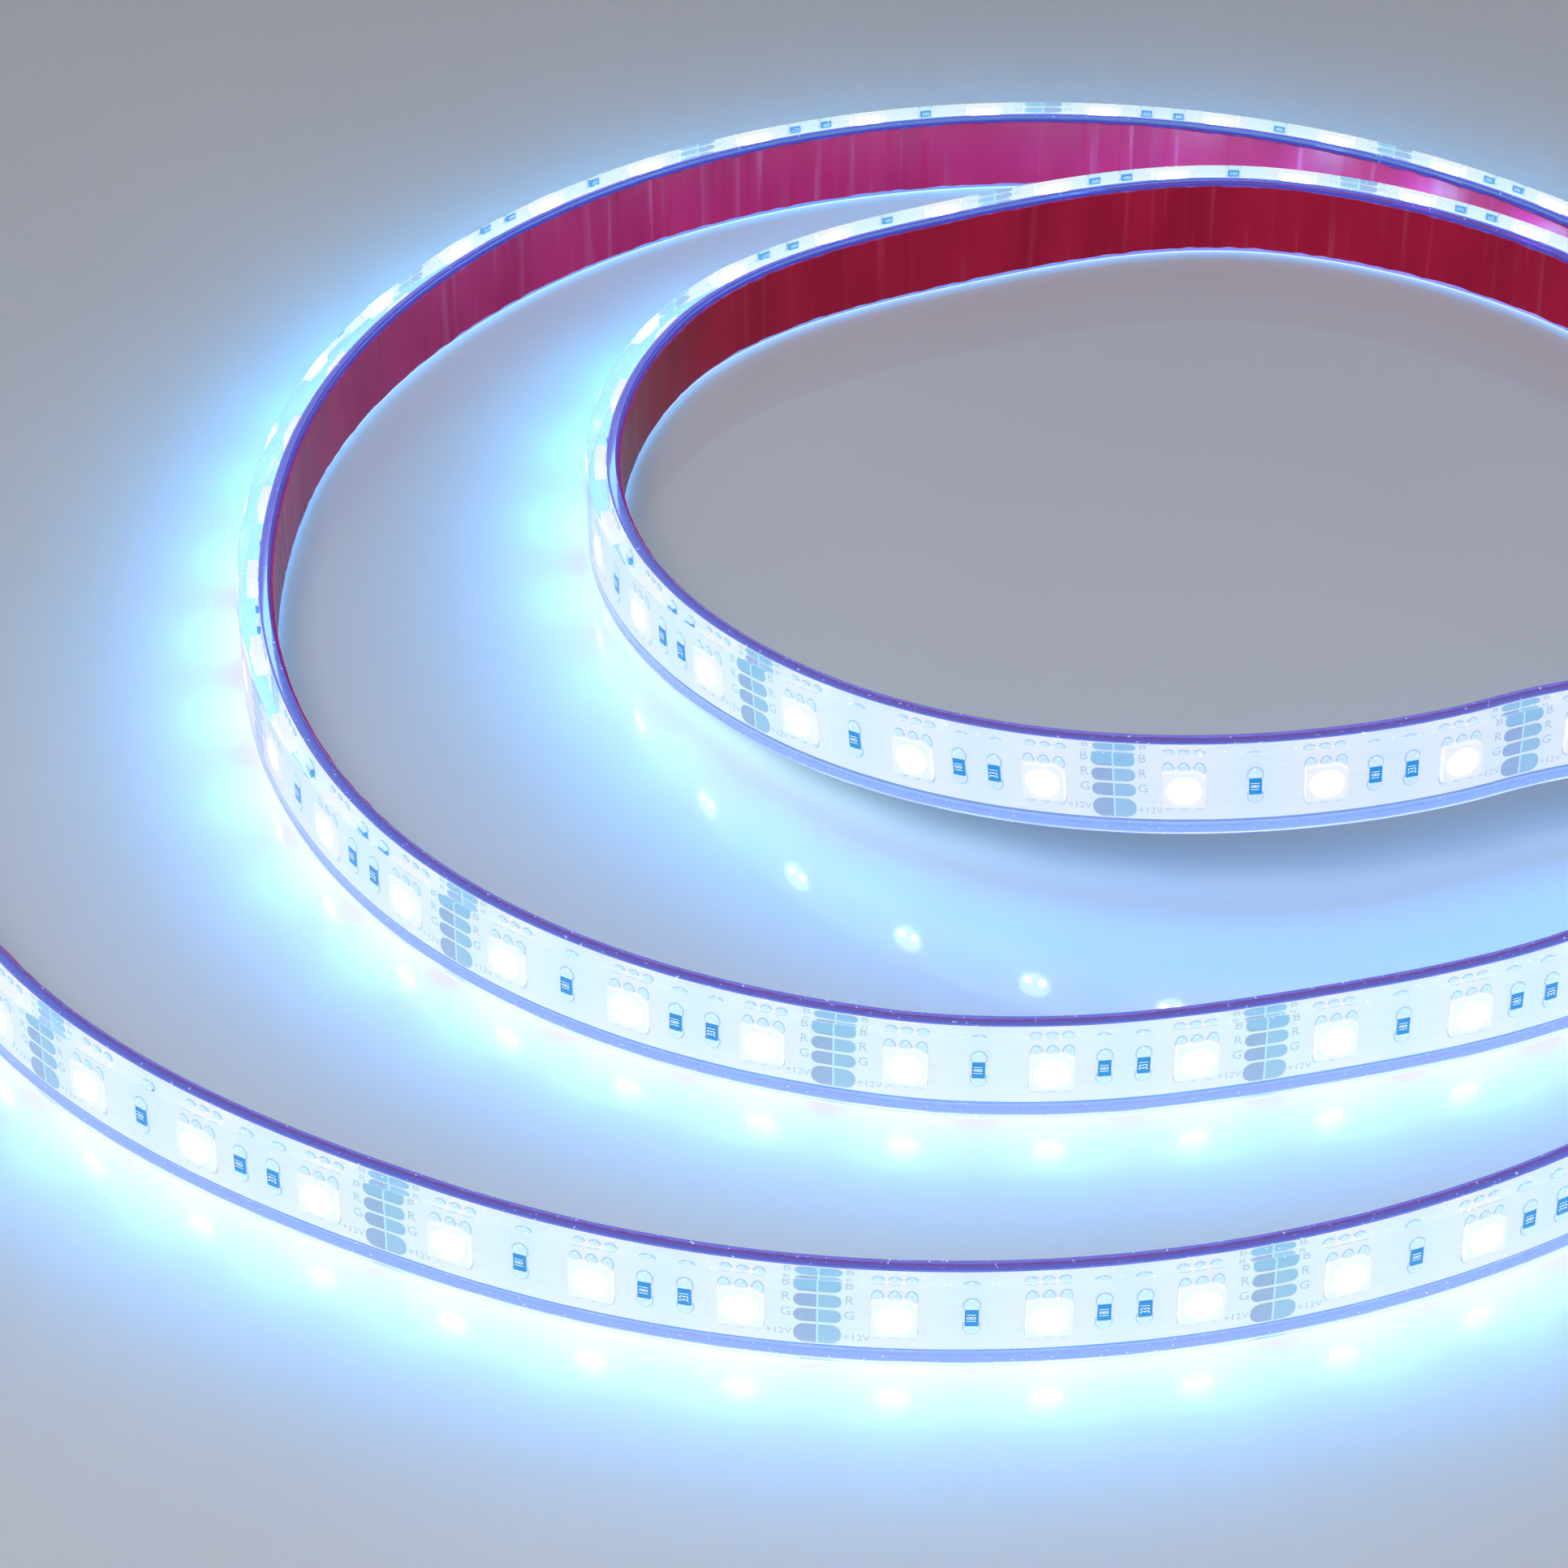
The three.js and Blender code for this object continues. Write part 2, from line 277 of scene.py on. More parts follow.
class Nodes:
    """Small helper that wires one material's node tree."""

    def __init__(self, name: str) -> None:
        """Starts an empty node material.

        Args:
            name: Name of the material.
        """
        self.material: Material = bpy.data.materials.new(name)
        self.material.use_nodes = True
        self.tree = self.material.node_tree
        self.tree.nodes.clear()

    def add(self, kind: str, values: dict | None = None, **settings: object) -> Node:
        """Adds a node.

        Args:
            kind: Node type without its ShaderNode prefix.
            values: Socket names with a plain value or the socket to link from.
            settings: Node properties.

        Returns:
            The new node.
        """
        node = self.tree.nodes.new("ShaderNode" + kind)
        for key, value in settings.items():
            setattr(node, key, value)
        for key, value in (values or {}).items():
            if isinstance(value, NodeSocket):
                self.tree.links.new(value, node.inputs[key])
            else:
                node.inputs[key].default_value = value
        return node

    def math(self, operation: str, first: object, second: object = 0.0, clamp: bool = False) -> NodeSocket:
        """Result of one maths step on values or sockets."""
        values = {0: first, 1: second}
        return self.add("Math", values, operation=operation, use_clamp=clamp).outputs[0]

    def product(self, *factors: object) -> NodeSocket:
        """Product of values or sockets."""
        result = factors[0]
        for factor in factors[1:]:
            result = self.math("MULTIPLY", result, factor)
        return result

    def radius(self, across: object, rise: object) -> NodeSocket:
        """Distance from the middle, from the distances in two directions."""
        squares = [self.math("POWER", value, 2.0) for value in (across, rise)]
        return self.math("SQRT", self.math("ADD", *squares))

    def parts(self, vector: NodeSocket) -> bpy.types.bpy_prop_collection:
        """Sockets X, Y and Z of a vector."""
        return self.add("SeparateXYZ", {"Vector": vector}).outputs

    def uv(self) -> Spot:
        """Length and height in millimetres on the straight strip, and both as a vector."""
        place = self.add("UVMap", uv_map=UV_NAME).outputs["UV"]
        parts = self.parts(place)
        return parts["X"], parts["Y"], place

    def stretched(self, place: NodeSocket, scale: Point) -> NodeSocket:
        """Coordinates scaled apart along their axes."""
        return self.add("Mapping", {"Vector": place, "Scale": scale}).outputs["Vector"]

    def noise(self, place: NodeSocket, scale: float, detail: float = 2.0) -> NodeSocket:
        """Smooth noise from 0 to 1."""
        values = {"Vector": place, "Scale": scale, "Detail": detail}
        return self.add("TexNoise", values, noise_dimensions="3D").outputs["Fac"]

    def span(
        self, value: object, low: float, high: float, to_low: float = 0.0, to_high: float = 1.0
    ) -> NodeSocket:
        """Value moved from one range to another, held at its ends."""
        values = {"Value": value, "From Min": low, "From Max": high, "To Min": to_low, "To Max": to_high}
        return self.add("MapRange", values, clamp=True).outputs["Result"]

    def blend(self, share: object, first: object, second: object) -> NodeSocket:
        """Colour between two colours."""
        node = self.add("Mix", data_type="RGBA")
        for index, value in ((0, share), (6, first), (7, second)):
            if isinstance(value, NodeSocket):
                self.tree.links.new(value, node.inputs[index])
            else:
                node.inputs[index].default_value = value
        return node.outputs[2]

    def bump(self, height: NodeSocket, strength: float, distance: float) -> NodeSocket:
        """Surface normal bent by a height."""
        values = {"Height": height, "Strength": strength, "Distance": distance}
        return self.add("Bump", values).outputs["Normal"]

    def surface(self, values: dict) -> Node:
        """Principled shader with its sockets set."""
        return self.add("BsdfPrincipled", values)

    def plain(self, values: dict) -> Material:
        """Material of one principled shader."""
        return self.finish(self.surface(values).outputs[0])

    def lit(
        self, paint: Colour, roughness: float, light: NodeSocket, metallic: float = 0.0,
        normal: NodeSocket | None = None, strength: float = 1.0, is_lamp: bool = False,
    ) -> Material:
        """Material of a surface that glows.

        Args:
            paint: Its own colour.
            roughness: Its roughness.
            light: Colour that it glows in.
            metallic: Share of metal.
            normal: Bent surface normal, if any.
            strength: Strength of the glow.
            is_lamp: Whether rays look for it as a source of light.

        Returns:
            The finished material.
        """
        values = {
            "Base Color": paint, "Roughness": roughness, "Metallic": metallic,
            "Emission Color": light, "Emission Strength": strength,
        }
        if normal is not None:
            values["Normal"] = normal
        return self.finish(self.surface(values).outputs[0], is_lamp=is_lamp)

    def finish(
        self, shader: NodeSocket, inside: NodeSocket | None = None, is_lamp: bool = False
    ) -> Material:
        """Connects the surface and what fills the solid.

        Args:
            shader: Surface shader.
            inside: Volume shader, if any.
            is_lamp: Whether rays look for the surface as a source of light.

        Returns:
            The finished material.
        """
        self.material.cycles.emission_sampling = "FRONT" if is_lamp else "NONE"
        values = {"Surface": shader}
        if inside is not None:
            values["Volume"] = inside
        self.add("OutputMaterial", values)
        return self.material


def rgb(red: float, green: float, blue: float) -> Colour:
    """Linear colour from the 0 to 255 values that a picture shows."""
    def linear(value: float) -> float:
        share = value / 255
        return share / 12.92 if share <= 0.04045 else ((share + 0.055) / 1.055) ** 2.4
    return (linear(red), linear(green), linear(blue), 1.0)


BLACK: Colour = (0.0, 0.0, 0.0, 1.0)
INNER_PAINT = rgb(60, 62, 64)
LOW_LIGHT = rgb(118, 138, 212)
LOW_RANGE: Pair = (-3.0, -4.0)
EVEN_MIX: Pair = (0.35, 0.65)
WIDE_MIX: Pair = (0.3, 0.7)
FINE_BUMP: Pair = (0.25, 0.05 * MM)


@dataclass(frozen=True)
class ClearSilicone:
    """Clear cast silicone: a little wavy, duller on its long narrow faces, with a painted glow of LED
    light through it and on its faces, painted blue light low at the back, and light it throws on the
    table.
    """

    tint: Colour = (0.95, 0.98, 1.0, 1.0)
    index: float = 1.41
    wave_stretch: Point = (0.12, 0.5, 1.0)
    wave_strength: float = 0.12
    wave_height: float = 0.2 * MM
    dust_scale: float = 3.0
    dust_range: Pair = (0.45, 0.75)
    dust_rough: Pair = (0.01, 0.035)
    narrow_from: float = 5.8
    narrow_rough: float = 0.09
    haze_glow: Colour = (0.35, 0.8, 1.0, 1.0)
    haze_glow_per_metre: float = 14.0
    back_glow: Colour = (0.02, 0.02, 0.07, 1.0)
    back_glow_range: Pair = (0.0, 0.7)
    back_to: float = -1.0
    margin_from: float = 5.0
    margin_light_tint: Colour = (0.08, 0.13, 0.5, 1.0)
    low_glow: Colour = (0.10, 0.17, 0.40, 1.0)
    dust_glow: Colour = (0.35, 0.45, 0.6, 1.0)
    speck_scale: float = 1.9
    speck_range: Pair = (0.72, 0.76)
    leak: Colour = (0.08, 0.95, 0.98, 1.0)
    near_leak: Colour = (0.74, 0.14, 0.5, 1.0)
    side_leak: Colour = (0.02, 0.5, 1.15, 1.0)
    low_leak: Colour = (0.6, 0.72, 0.78, 1.0)
    leak_strength: float = 3.6
    near_range: Pair = (3 * MM, 25 * MM)
    near_depth: Pair = (20 * MM, 70 * MM)
    raised_length: Pair = (100.0, 150.0)
    front_from: float = 2.5

    def build(self) -> Material:
        """Makes the material."""
        n = Nodes("clear_silicone")
        length, height, _ = n.uv()
        depth = n.parts(n.add("UVMap", uv_map=DEPTH_UV).outputs["UV"])["X"]
        is_under = n.math("LESS_THAN", height, -self.narrow_from)
        glass = self._glass(n, (length, height, depth), is_under)
        rays = n.add("LightPath").outputs
        leak_colour = self._leak_colour(n, length, depth, is_under, rays["Ray Length"])
        leak = n.add("Emission", {"Color": leak_colour, "Strength": self.leak_strength})
        leaking = n.add("MixShader", {0: rays["Is Diffuse Ray"], 2: leak.outputs[0]})
        clear = n.add("BsdfTransparent", {"Color": self.tint})
        open_way = n.add("AddShader", {0: clear.outputs[0], 1: leaking.outputs[0]})
        passing = n.math("MAXIMUM", rays["Is Shadow Ray"], rays["Is Diffuse Ray"])
        mixed = n.add("MixShader", {0: passing, 1: glass.outputs[0], 2: open_way.outputs[0]})
        # Painted light: the whole volume glows evenly, standing in for LED light scattered inside the
        # silicone.
        haze_glow = n.add("Emission", {"Color": self.haze_glow, "Strength": self.haze_glow_per_metre})
        return n.finish(mixed.outputs[0], haze_glow.outputs[0])

    def _glass(self, n: Nodes, spot: Spot, is_under: NodeSocket) -> Node:
        """Refracting surface that the camera sees, with painted glow: faint behind the board's front,
        bluer low at the back and underneath, and on dust specks of the narrow faces.

        Args:
            n: Nodes of the material.
            spot: Length, height and depth on the straight strip, in millimetres.
            is_under: 1 on the bottom face.

        Returns:
            The shader node.
        """
        _, height, depth = spot
        place = n.add("CombineXYZ", dict(zip("XYZ", spot))).outputs["Vector"]
        wave = n.noise(n.stretched(place, self.wave_stretch), 1.0)
        dust = n.span(n.noise(place, self.dust_scale), *self.dust_range, *self.dust_rough)
        off_middle = n.math("ABSOLUTE", height)
        is_narrow = n.math("GREATER_THAN", off_middle, self.narrow_from)
        is_back = n.math("LESS_THAN", depth, self.back_to)
        in_margin = n.product(n.math("GREATER_THAN", off_middle, self.margin_from), is_back)
        in_low_margin = n.product(n.math("LESS_THAN", height, -self.margin_from), is_back)
        # Painted light: the back margin and the bottom face are tinted blue for the lit floor seen through
        # them.
        tint = n.blend(n.math("MAXIMUM", in_margin, is_under), self.tint, self.margin_light_tint)
        # Painted glow on the faces behind the board's front, and a bluer painted glow low at the back and
        # on the bottom face.
        glow = n.blend(n.span(depth, *self.back_glow_range, 1.0, 0.0), BLACK, self.back_glow)
        glow = n.blend(n.math("MAXIMUM", in_low_margin, is_under), glow, self.low_glow)
        # Real dust specks on the narrow faces, their glow painted light.
        specks = n.span(n.noise(place, self.speck_scale, 1.0), *self.speck_range)
        glow = n.blend(n.product(specks, is_narrow), glow, self.dust_glow)
        return n.surface({
            "Base Color": tint, "IOR": self.index, "Transmission Weight": 1.0,
            "Roughness": n.math("ADD", dust, n.product(is_narrow, self.narrow_rough)),
            "Normal": n.bump(wave, self.wave_strength, self.wave_height),
            "Emission Color": glow, "Emission Strength": 1.0,
        })

    def _leak_colour(
        self, n: Nodes, length: NodeSocket, depth: NodeSocket, is_under: NodeSocket, reach: NodeSocket
    ) -> NodeSocket:
        """Colour that the silicone throws on the table.

        Args:
            n: Nodes of the material.
            length: Length on the straight strip, in millimetres.
            depth: Depth on the straight strip, in millimetres.
            is_under: 1 on the bottom face.
            reach: Distance from the lit spot.

        Returns:
            Whitish close by, greener further out in front, and bluer from the other faces.
        """
        away = n.parts(n.add("TexCoord").outputs["Object"])["Y"]
        on_table = n.span(length, *self.raised_length)
        is_front = n.math("GREATER_THAN", depth, self.front_from)
        lit_front = n.product(n.math("SUBTRACT", is_front, is_under, clamp=True), on_table)
        is_inside = n.add("NewGeometry").outputs["Backfacing"]
        from_outside = n.math("SUBTRACT", lit_front, is_inside, clamp=True)
        closeness = n.span(reach, *self.near_range, 1.0, 0.0)
        near = n.product(closeness, n.span(away, *self.near_depth, 1.0, 0.0), from_outside)
        colour = n.blend(n.product(is_under, on_table), self.side_leak, self.low_leak)
        colour = n.blend(lit_front, colour, self.leak)
        return n.blend(near, colour, self.near_leak)


@dataclass(frozen=True)
class LitBoard:
    """White flexible board flooded with light: brightest round each LED, with traces under its mask."""

    pitch: float
    paint: Colour = INNER_PAINT
    near: Colour = rgb(221, 219, 221)
    far: Colour = rgb(210, 215, 220)
    near_range: Pair = (0.1, 0.5)
    trace: Colour = rgb(196, 210, 219)
    traces_per_mm: float = 0.42
    trace_edge: Pair = (0.43, 0.47)
    trace_stretch: Point = (0.16, 0.6, 1.0)
    trace_breaks: Pair = (0.48, 0.52)
    trace_share: float = 0.35
    trace_bump: float = 0.2
    trace_height: float = 0.03 * MM

    def build(self) -> Material:
        """Makes the material."""
        n = Nodes("lit_board")
        length, height, place = n.uv()
        off_centre = self._off_middle(n, n.math("DIVIDE", length, self.pitch / MM))
        glow = n.blend(n.span(off_centre, *self.near_range), self.near, self.far)
        edge = n.span(self._off_middle(n, n.product(height, self.traces_per_mm)), *self.trace_edge)
        broken = n.span(n.noise(n.stretched(place, self.trace_stretch), 1.0), *self.trace_breaks)
        light = n.blend(n.product(edge, broken, self.trace_share), glow, self.trace)
        return n.lit(self.paint, 0.5, light, normal=n.bump(edge, self.trace_bump, self.trace_height))

    @staticmethod
    def _off_middle(n: Nodes, value: NodeSocket) -> NodeSocket:
        """Distance of a repeating value from the middle of its step."""
        return n.math("ABSOLUTE", n.math("SUBTRACT", n.math("FRACT", value), 0.5))


@dataclass(frozen=True)
class BoardBack:
    """Back and edges of the board, glowing violet with painted light rather than a colour of its own,
    paler towards the bottom.
    """

    paint: Colour = rgb(50, 40, 70)
    # Painted light: the violet glow stands in for LED light on the board's back.
    light: Colour = rgb(88, 80, 172)
    shade: Colour = rgb(100, 90, 188)
    low: Colour = LOW_LIGHT
    stretch: Point = (0.3, 0.8, 1.0)

    def build(self) -> Material:
        """Makes the material."""
        n = Nodes("board_back")
        _, height, place = n.uv()
        mottle = n.noise(n.stretched(place, self.stretch), 1.0)
        light = n.blend(n.span(mottle, *EVEN_MIX), self.light, self.shade)
        light = n.blend(n.span(height, *LOW_RANGE), light, self.low)
        return n.lit(self.paint, 0.5, light)


@dataclass(frozen=True)
class Lamp:
    """Glowing resin or housing: light that falls towards its rim, and casts more than it shows. The
    housing is no lamp, so its glow is painted light.
    """

    name: str
    middle: Colour
    rim: Colour
    strength: float
    reach: float
    cast: Colour | None = None
    paint: Colour = INNER_PAINT
    fall_from: float = 0.4

    def build(self) -> Material:
        """Makes the material."""
        n = Nodes(self.name)
        across, height, _ = n.uv()
        fall = n.span(n.radius(across, height), self.fall_from * self.reach, self.reach)
        light = n.blend(fall, self.middle, self.rim)
        if self.cast:
            rays = n.add("LightPath").outputs
            mirrored = n.math("MAXIMUM", rays["Is Glossy Ray"], rays["Is Transmission Ray"])
            is_seen = n.math("MAXIMUM", rays["Is Camera Ray"], mirrored)
            light = n.blend(is_seen, self.cast, light)
        return n.lit(self.paint, 0.3, light, strength=self.strength, is_lamp=self.cast is not None)


@dataclass(frozen=True)
class Glowing:
    """Moulded, printed or metal surface inside the body, lit by the LEDs round it."""

    name: str
    paint: Colour
    light: Colour
    shade: Colour
    roughness: float = 0.5
    metallic: float = 0.0
    grain: float = 1.0

    def build(self) -> Material:
        """Makes the material."""
        n = Nodes(self.name)
        mottle = n.noise(n.uv()[2], self.grain, 3.0)
        light = n.blend(n.span(mottle, *EVEN_MIX), self.light, self.shade)
        return n.lit(self.paint, self.roughness, light, self.metallic, n.bump(mottle, *FINE_BUMP))


@dataclass(frozen=True)
class PadFinish:
    """Tinned copper pads glowing with painted LED light: a painted sheen makes one side of the cut
    brighter than the other, and the top pad is brighter too.
    """

    paint: Colour = rgb(50, 55, 65)
    sheenless: Colour = rgb(141, 154, 190)
    clear: Colour = rgb(142, 178, 204)
    top: Colour = rgb(132, 176, 206)
    top_from: float = 3.1
    bloom: Colour = rgb(170, 190, 214)
    bloom_share: float = 0.12
    grain: float = 0.8
    side_range: Pair = (-0.1, 0.1)

    def build(self) -> Material:
        """Makes the material."""
        n = Nodes("tinned_copper")
        length, height, place = n.uv()
        mottle = n.noise(place, self.grain, 3.0)
        # Painted sheen: pads before the cut glow brighter than those after it.
        light = n.blend(n.span(length, *self.side_range), self.clear, self.sheenless)
        light = n.blend(n.math("GREATER_THAN", height, self.top_from), light, self.top)
        light = n.blend(n.span(mottle, *EVEN_MIX, 0.0, self.bloom_share), light, self.bloom)
        return n.lit(self.paint, 0.35, light, 0.3, n.bump(mottle, *FINE_BUMP))


@dataclass(frozen=True)
class SolderFinish:
    """Domes of solder glowing with painted light: paler inside, with painted shade darker round their
    feet, over evenly spaced leads.
    """

    name: str
    spacing: float
    level: float
    half_width: float
    reach: float
    paint: Colour = rgb(90, 100, 115)
    inside: Colour = rgb(196, 208, 216)
    rim: Colour = rgb(146, 162, 196)
    shaded_rim_range: Pair = (0.76, 0.88)
    grain: float = 2.2
    grain_range: Pair = (0.56, 0.62)
    grain_share: float = 0.4
    step_shift: float = 10.5

    def build(self) -> Material:
        """Makes the material."""
        n = Nodes(self.name)
        length, height, place = n.uv()
        steps = n.math("ADD", n.math("DIVIDE", length, self.spacing / MM), self.step_shift)
        off = n.product(n.math("SUBTRACT", n.math("FRACT", steps), 0.5), self.spacing / self.half_width)
        beyond = n.math("SUBTRACT", n.math("ABSOLUTE", height), self.level / MM)
        radius = n.radius(off, n.math("DIVIDE", beyond, self.reach / MM))
        mottle = n.noise(place, self.grain, 3.0)
        # Painted shade: each dome darkens towards its foot, and in patches of its grain.
        light = n.blend(n.span(radius, *self.shaded_rim_range), self.inside, self.rim)
        light = n.blend(n.span(mottle, *self.grain_range, 0.0, self.grain_share), light, self.rim)
        return n.lit(self.paint, 0.22, light, 0.5, n.bump(mottle, *FINE_BUMP))


@dataclass(frozen=True)
class TapeFinish:
    """Tape pressed to the silicone, glowing with painted light from the board: violet at its upper edge,
    blue inwards, paler along the bottom.
    """

    paint: Colour = rgb(30, 20, 35)
    # Painted light: these colours glow over the tape's own dark paint.
    inner: Colour = rgb(68, 86, 182)
    upper: Colour = rgb(98, 34, 134)
    upper_range: Pair = (3.6, 4.8)
    low: Colour = LOW_LIGHT
    streak: Colour = rgb(120, 100, 200)
    streak_stretch: Point = (1.2, 0.15, 1.0)
    streak_range: Pair = (0.5, 0.8)
    streak_share: float = 0.2
    streak_bump: float = 0.3
    streak_height: float = 0.05 * MM

    def build(self) -> Material:
        """Makes the material."""
        n = Nodes("adhesive_tape")
        _, height, place = n.uv()
        streaks = n.noise(n.stretched(place, self.streak_stretch), 1.0, 3.0)
        light = n.blend(n.span(height, *self.upper_range), self.inner, self.upper)
        light = n.blend(n.span(height, *LOW_RANGE), light, self.low)
        light = n.blend(n.span(streaks, *self.streak_range, 0.0, self.streak_share), light, self.streak)
        normal = n.bump(streaks, self.streak_bump, self.streak_height)
        return n.lit(self.paint, 0.6, light, normal=normal, strength=0.9)


@dataclass(frozen=True)
class LinerFinish:
    """Glossy crimson release liner, with pale upright streaks."""

    deep: Colour = rgb(150, 11, 48)
    bright: Colour = rgb(166, 19, 56)
    shade_stretch: Point = (0.09, 0.03, 1.0)
    shade_range: Pair = (0.38, 0.62)
    pale: Colour = rgb(182, 78, 106)
    pale_share: float = 0.55
    streak_stretch: Point = (0.55, 0.02, 1.0)
    streak_range: Pair = (0.55, 0.75)
    hair_stretch: Point = (2.2, 0.05, 1.0)
    hair_light: Pair = (0.4, 1.0)
    hair_share: float = 0.3
    rough: Pair = (0.22, 0.42)
    specular: float = 0.15
    coat: float = 0.06
    coat_rough: float = 0.12
    crease_bump: float = 0.2
    crease_height: float = 0.1 * MM

    def build(self) -> Material:
        """Makes the material."""
        n = Nodes("release_liner")
        place = n.uv()[2]
        broad = n.noise(n.stretched(place, self.shade_stretch), 1.0, 3.0)
        fine = n.noise(n.stretched(place, self.streak_stretch), 1.0, 4.0)
        hair = n.noise(n.stretched(place, self.hair_stretch), 1.0, 2.0)
        colour = n.blend(n.span(broad, *self.shade_range), self.deep, self.bright)
        pale_streaks = n.product(n.span(fine, *self.streak_range), n.span(hair, *WIDE_MIX, *self.hair_light))
        colour = n.blend(n.product(pale_streaks, self.pale_share), colour, self.pale)
        creases = n.math("ADD", n.product(fine, 1 - self.hair_share), n.product(hair, self.hair_share))
        return n.plain({
            "Base Color": colour, "Roughness": n.span(fine, *WIDE_MIX, *self.rough),
            "Specular IOR Level": self.specular, "Coat Weight": self.coat,
            "Coat Roughness": self.coat_rough,
            "Normal": n.bump(creases, self.crease_bump, self.crease_height),
        })


@dataclass(frozen=True)
class CapFinish:
    """Milky moulded silicone of the end caps, with a faint parting texture."""

    paint: Colour = rgb(206, 214, 222)
    shade: Colour = rgb(190, 202, 214)
    grain: float = 900.0
    rough: Pair = (0.28, 0.42)
    milkiness: float = 0.3
    light_depth: float = 1.5 * MM
    grain_bump: float = 0.15
    grain_height: float = 0.1 * MM

    def build(self) -> Material:
        """Makes the material."""
        n = Nodes("end_cap")
        mottle = n.noise(n.add("TexCoord").outputs["Object"], self.grain, 4.0)
        return n.plain({
            "Base Color": n.blend(n.span(mottle, *EVEN_MIX), self.paint, self.shade),
            "Roughness": n.span(mottle, *WIDE_MIX, *self.rough),
            "Subsurface Weight": self.milkiness, "Subsurface Scale": self.light_depth,
            "Normal": n.bump(mottle, self.grain_bump, self.grain_height),
        })


@dataclass(frozen=True)
class FloorFinish:
    """Pale polished table top that mirrors the strip softly."""

    paint: Colour = rgb(162, 166, 177)
    shade: Colour = rgb(158, 162, 173)
    cloud_scale: float = 9.0
    grain: float = 140.0
    rough: Pair = (0.01, 0.018)
    index: float = 1.72

    def build(self) -> Material:
        """Makes the material."""
        n = Nodes("table_top")
        place = n.add("TexCoord").outputs["Object"]
        clouds = n.span(n.noise(place, self.cloud_scale, 2.0), *EVEN_MIX)
        return n.plain({
            "Base Color": n.blend(clouds, self.paint, self.shade),
            "Roughness": n.span(n.noise(place, self.grain, 3.0), *WIDE_MIX, *self.rough),
            "IOR": self.index,
        })


class Finish(Protocol):
    """Anything that can make a material."""

    def build(self) -> Material:
        """Makes the material."""


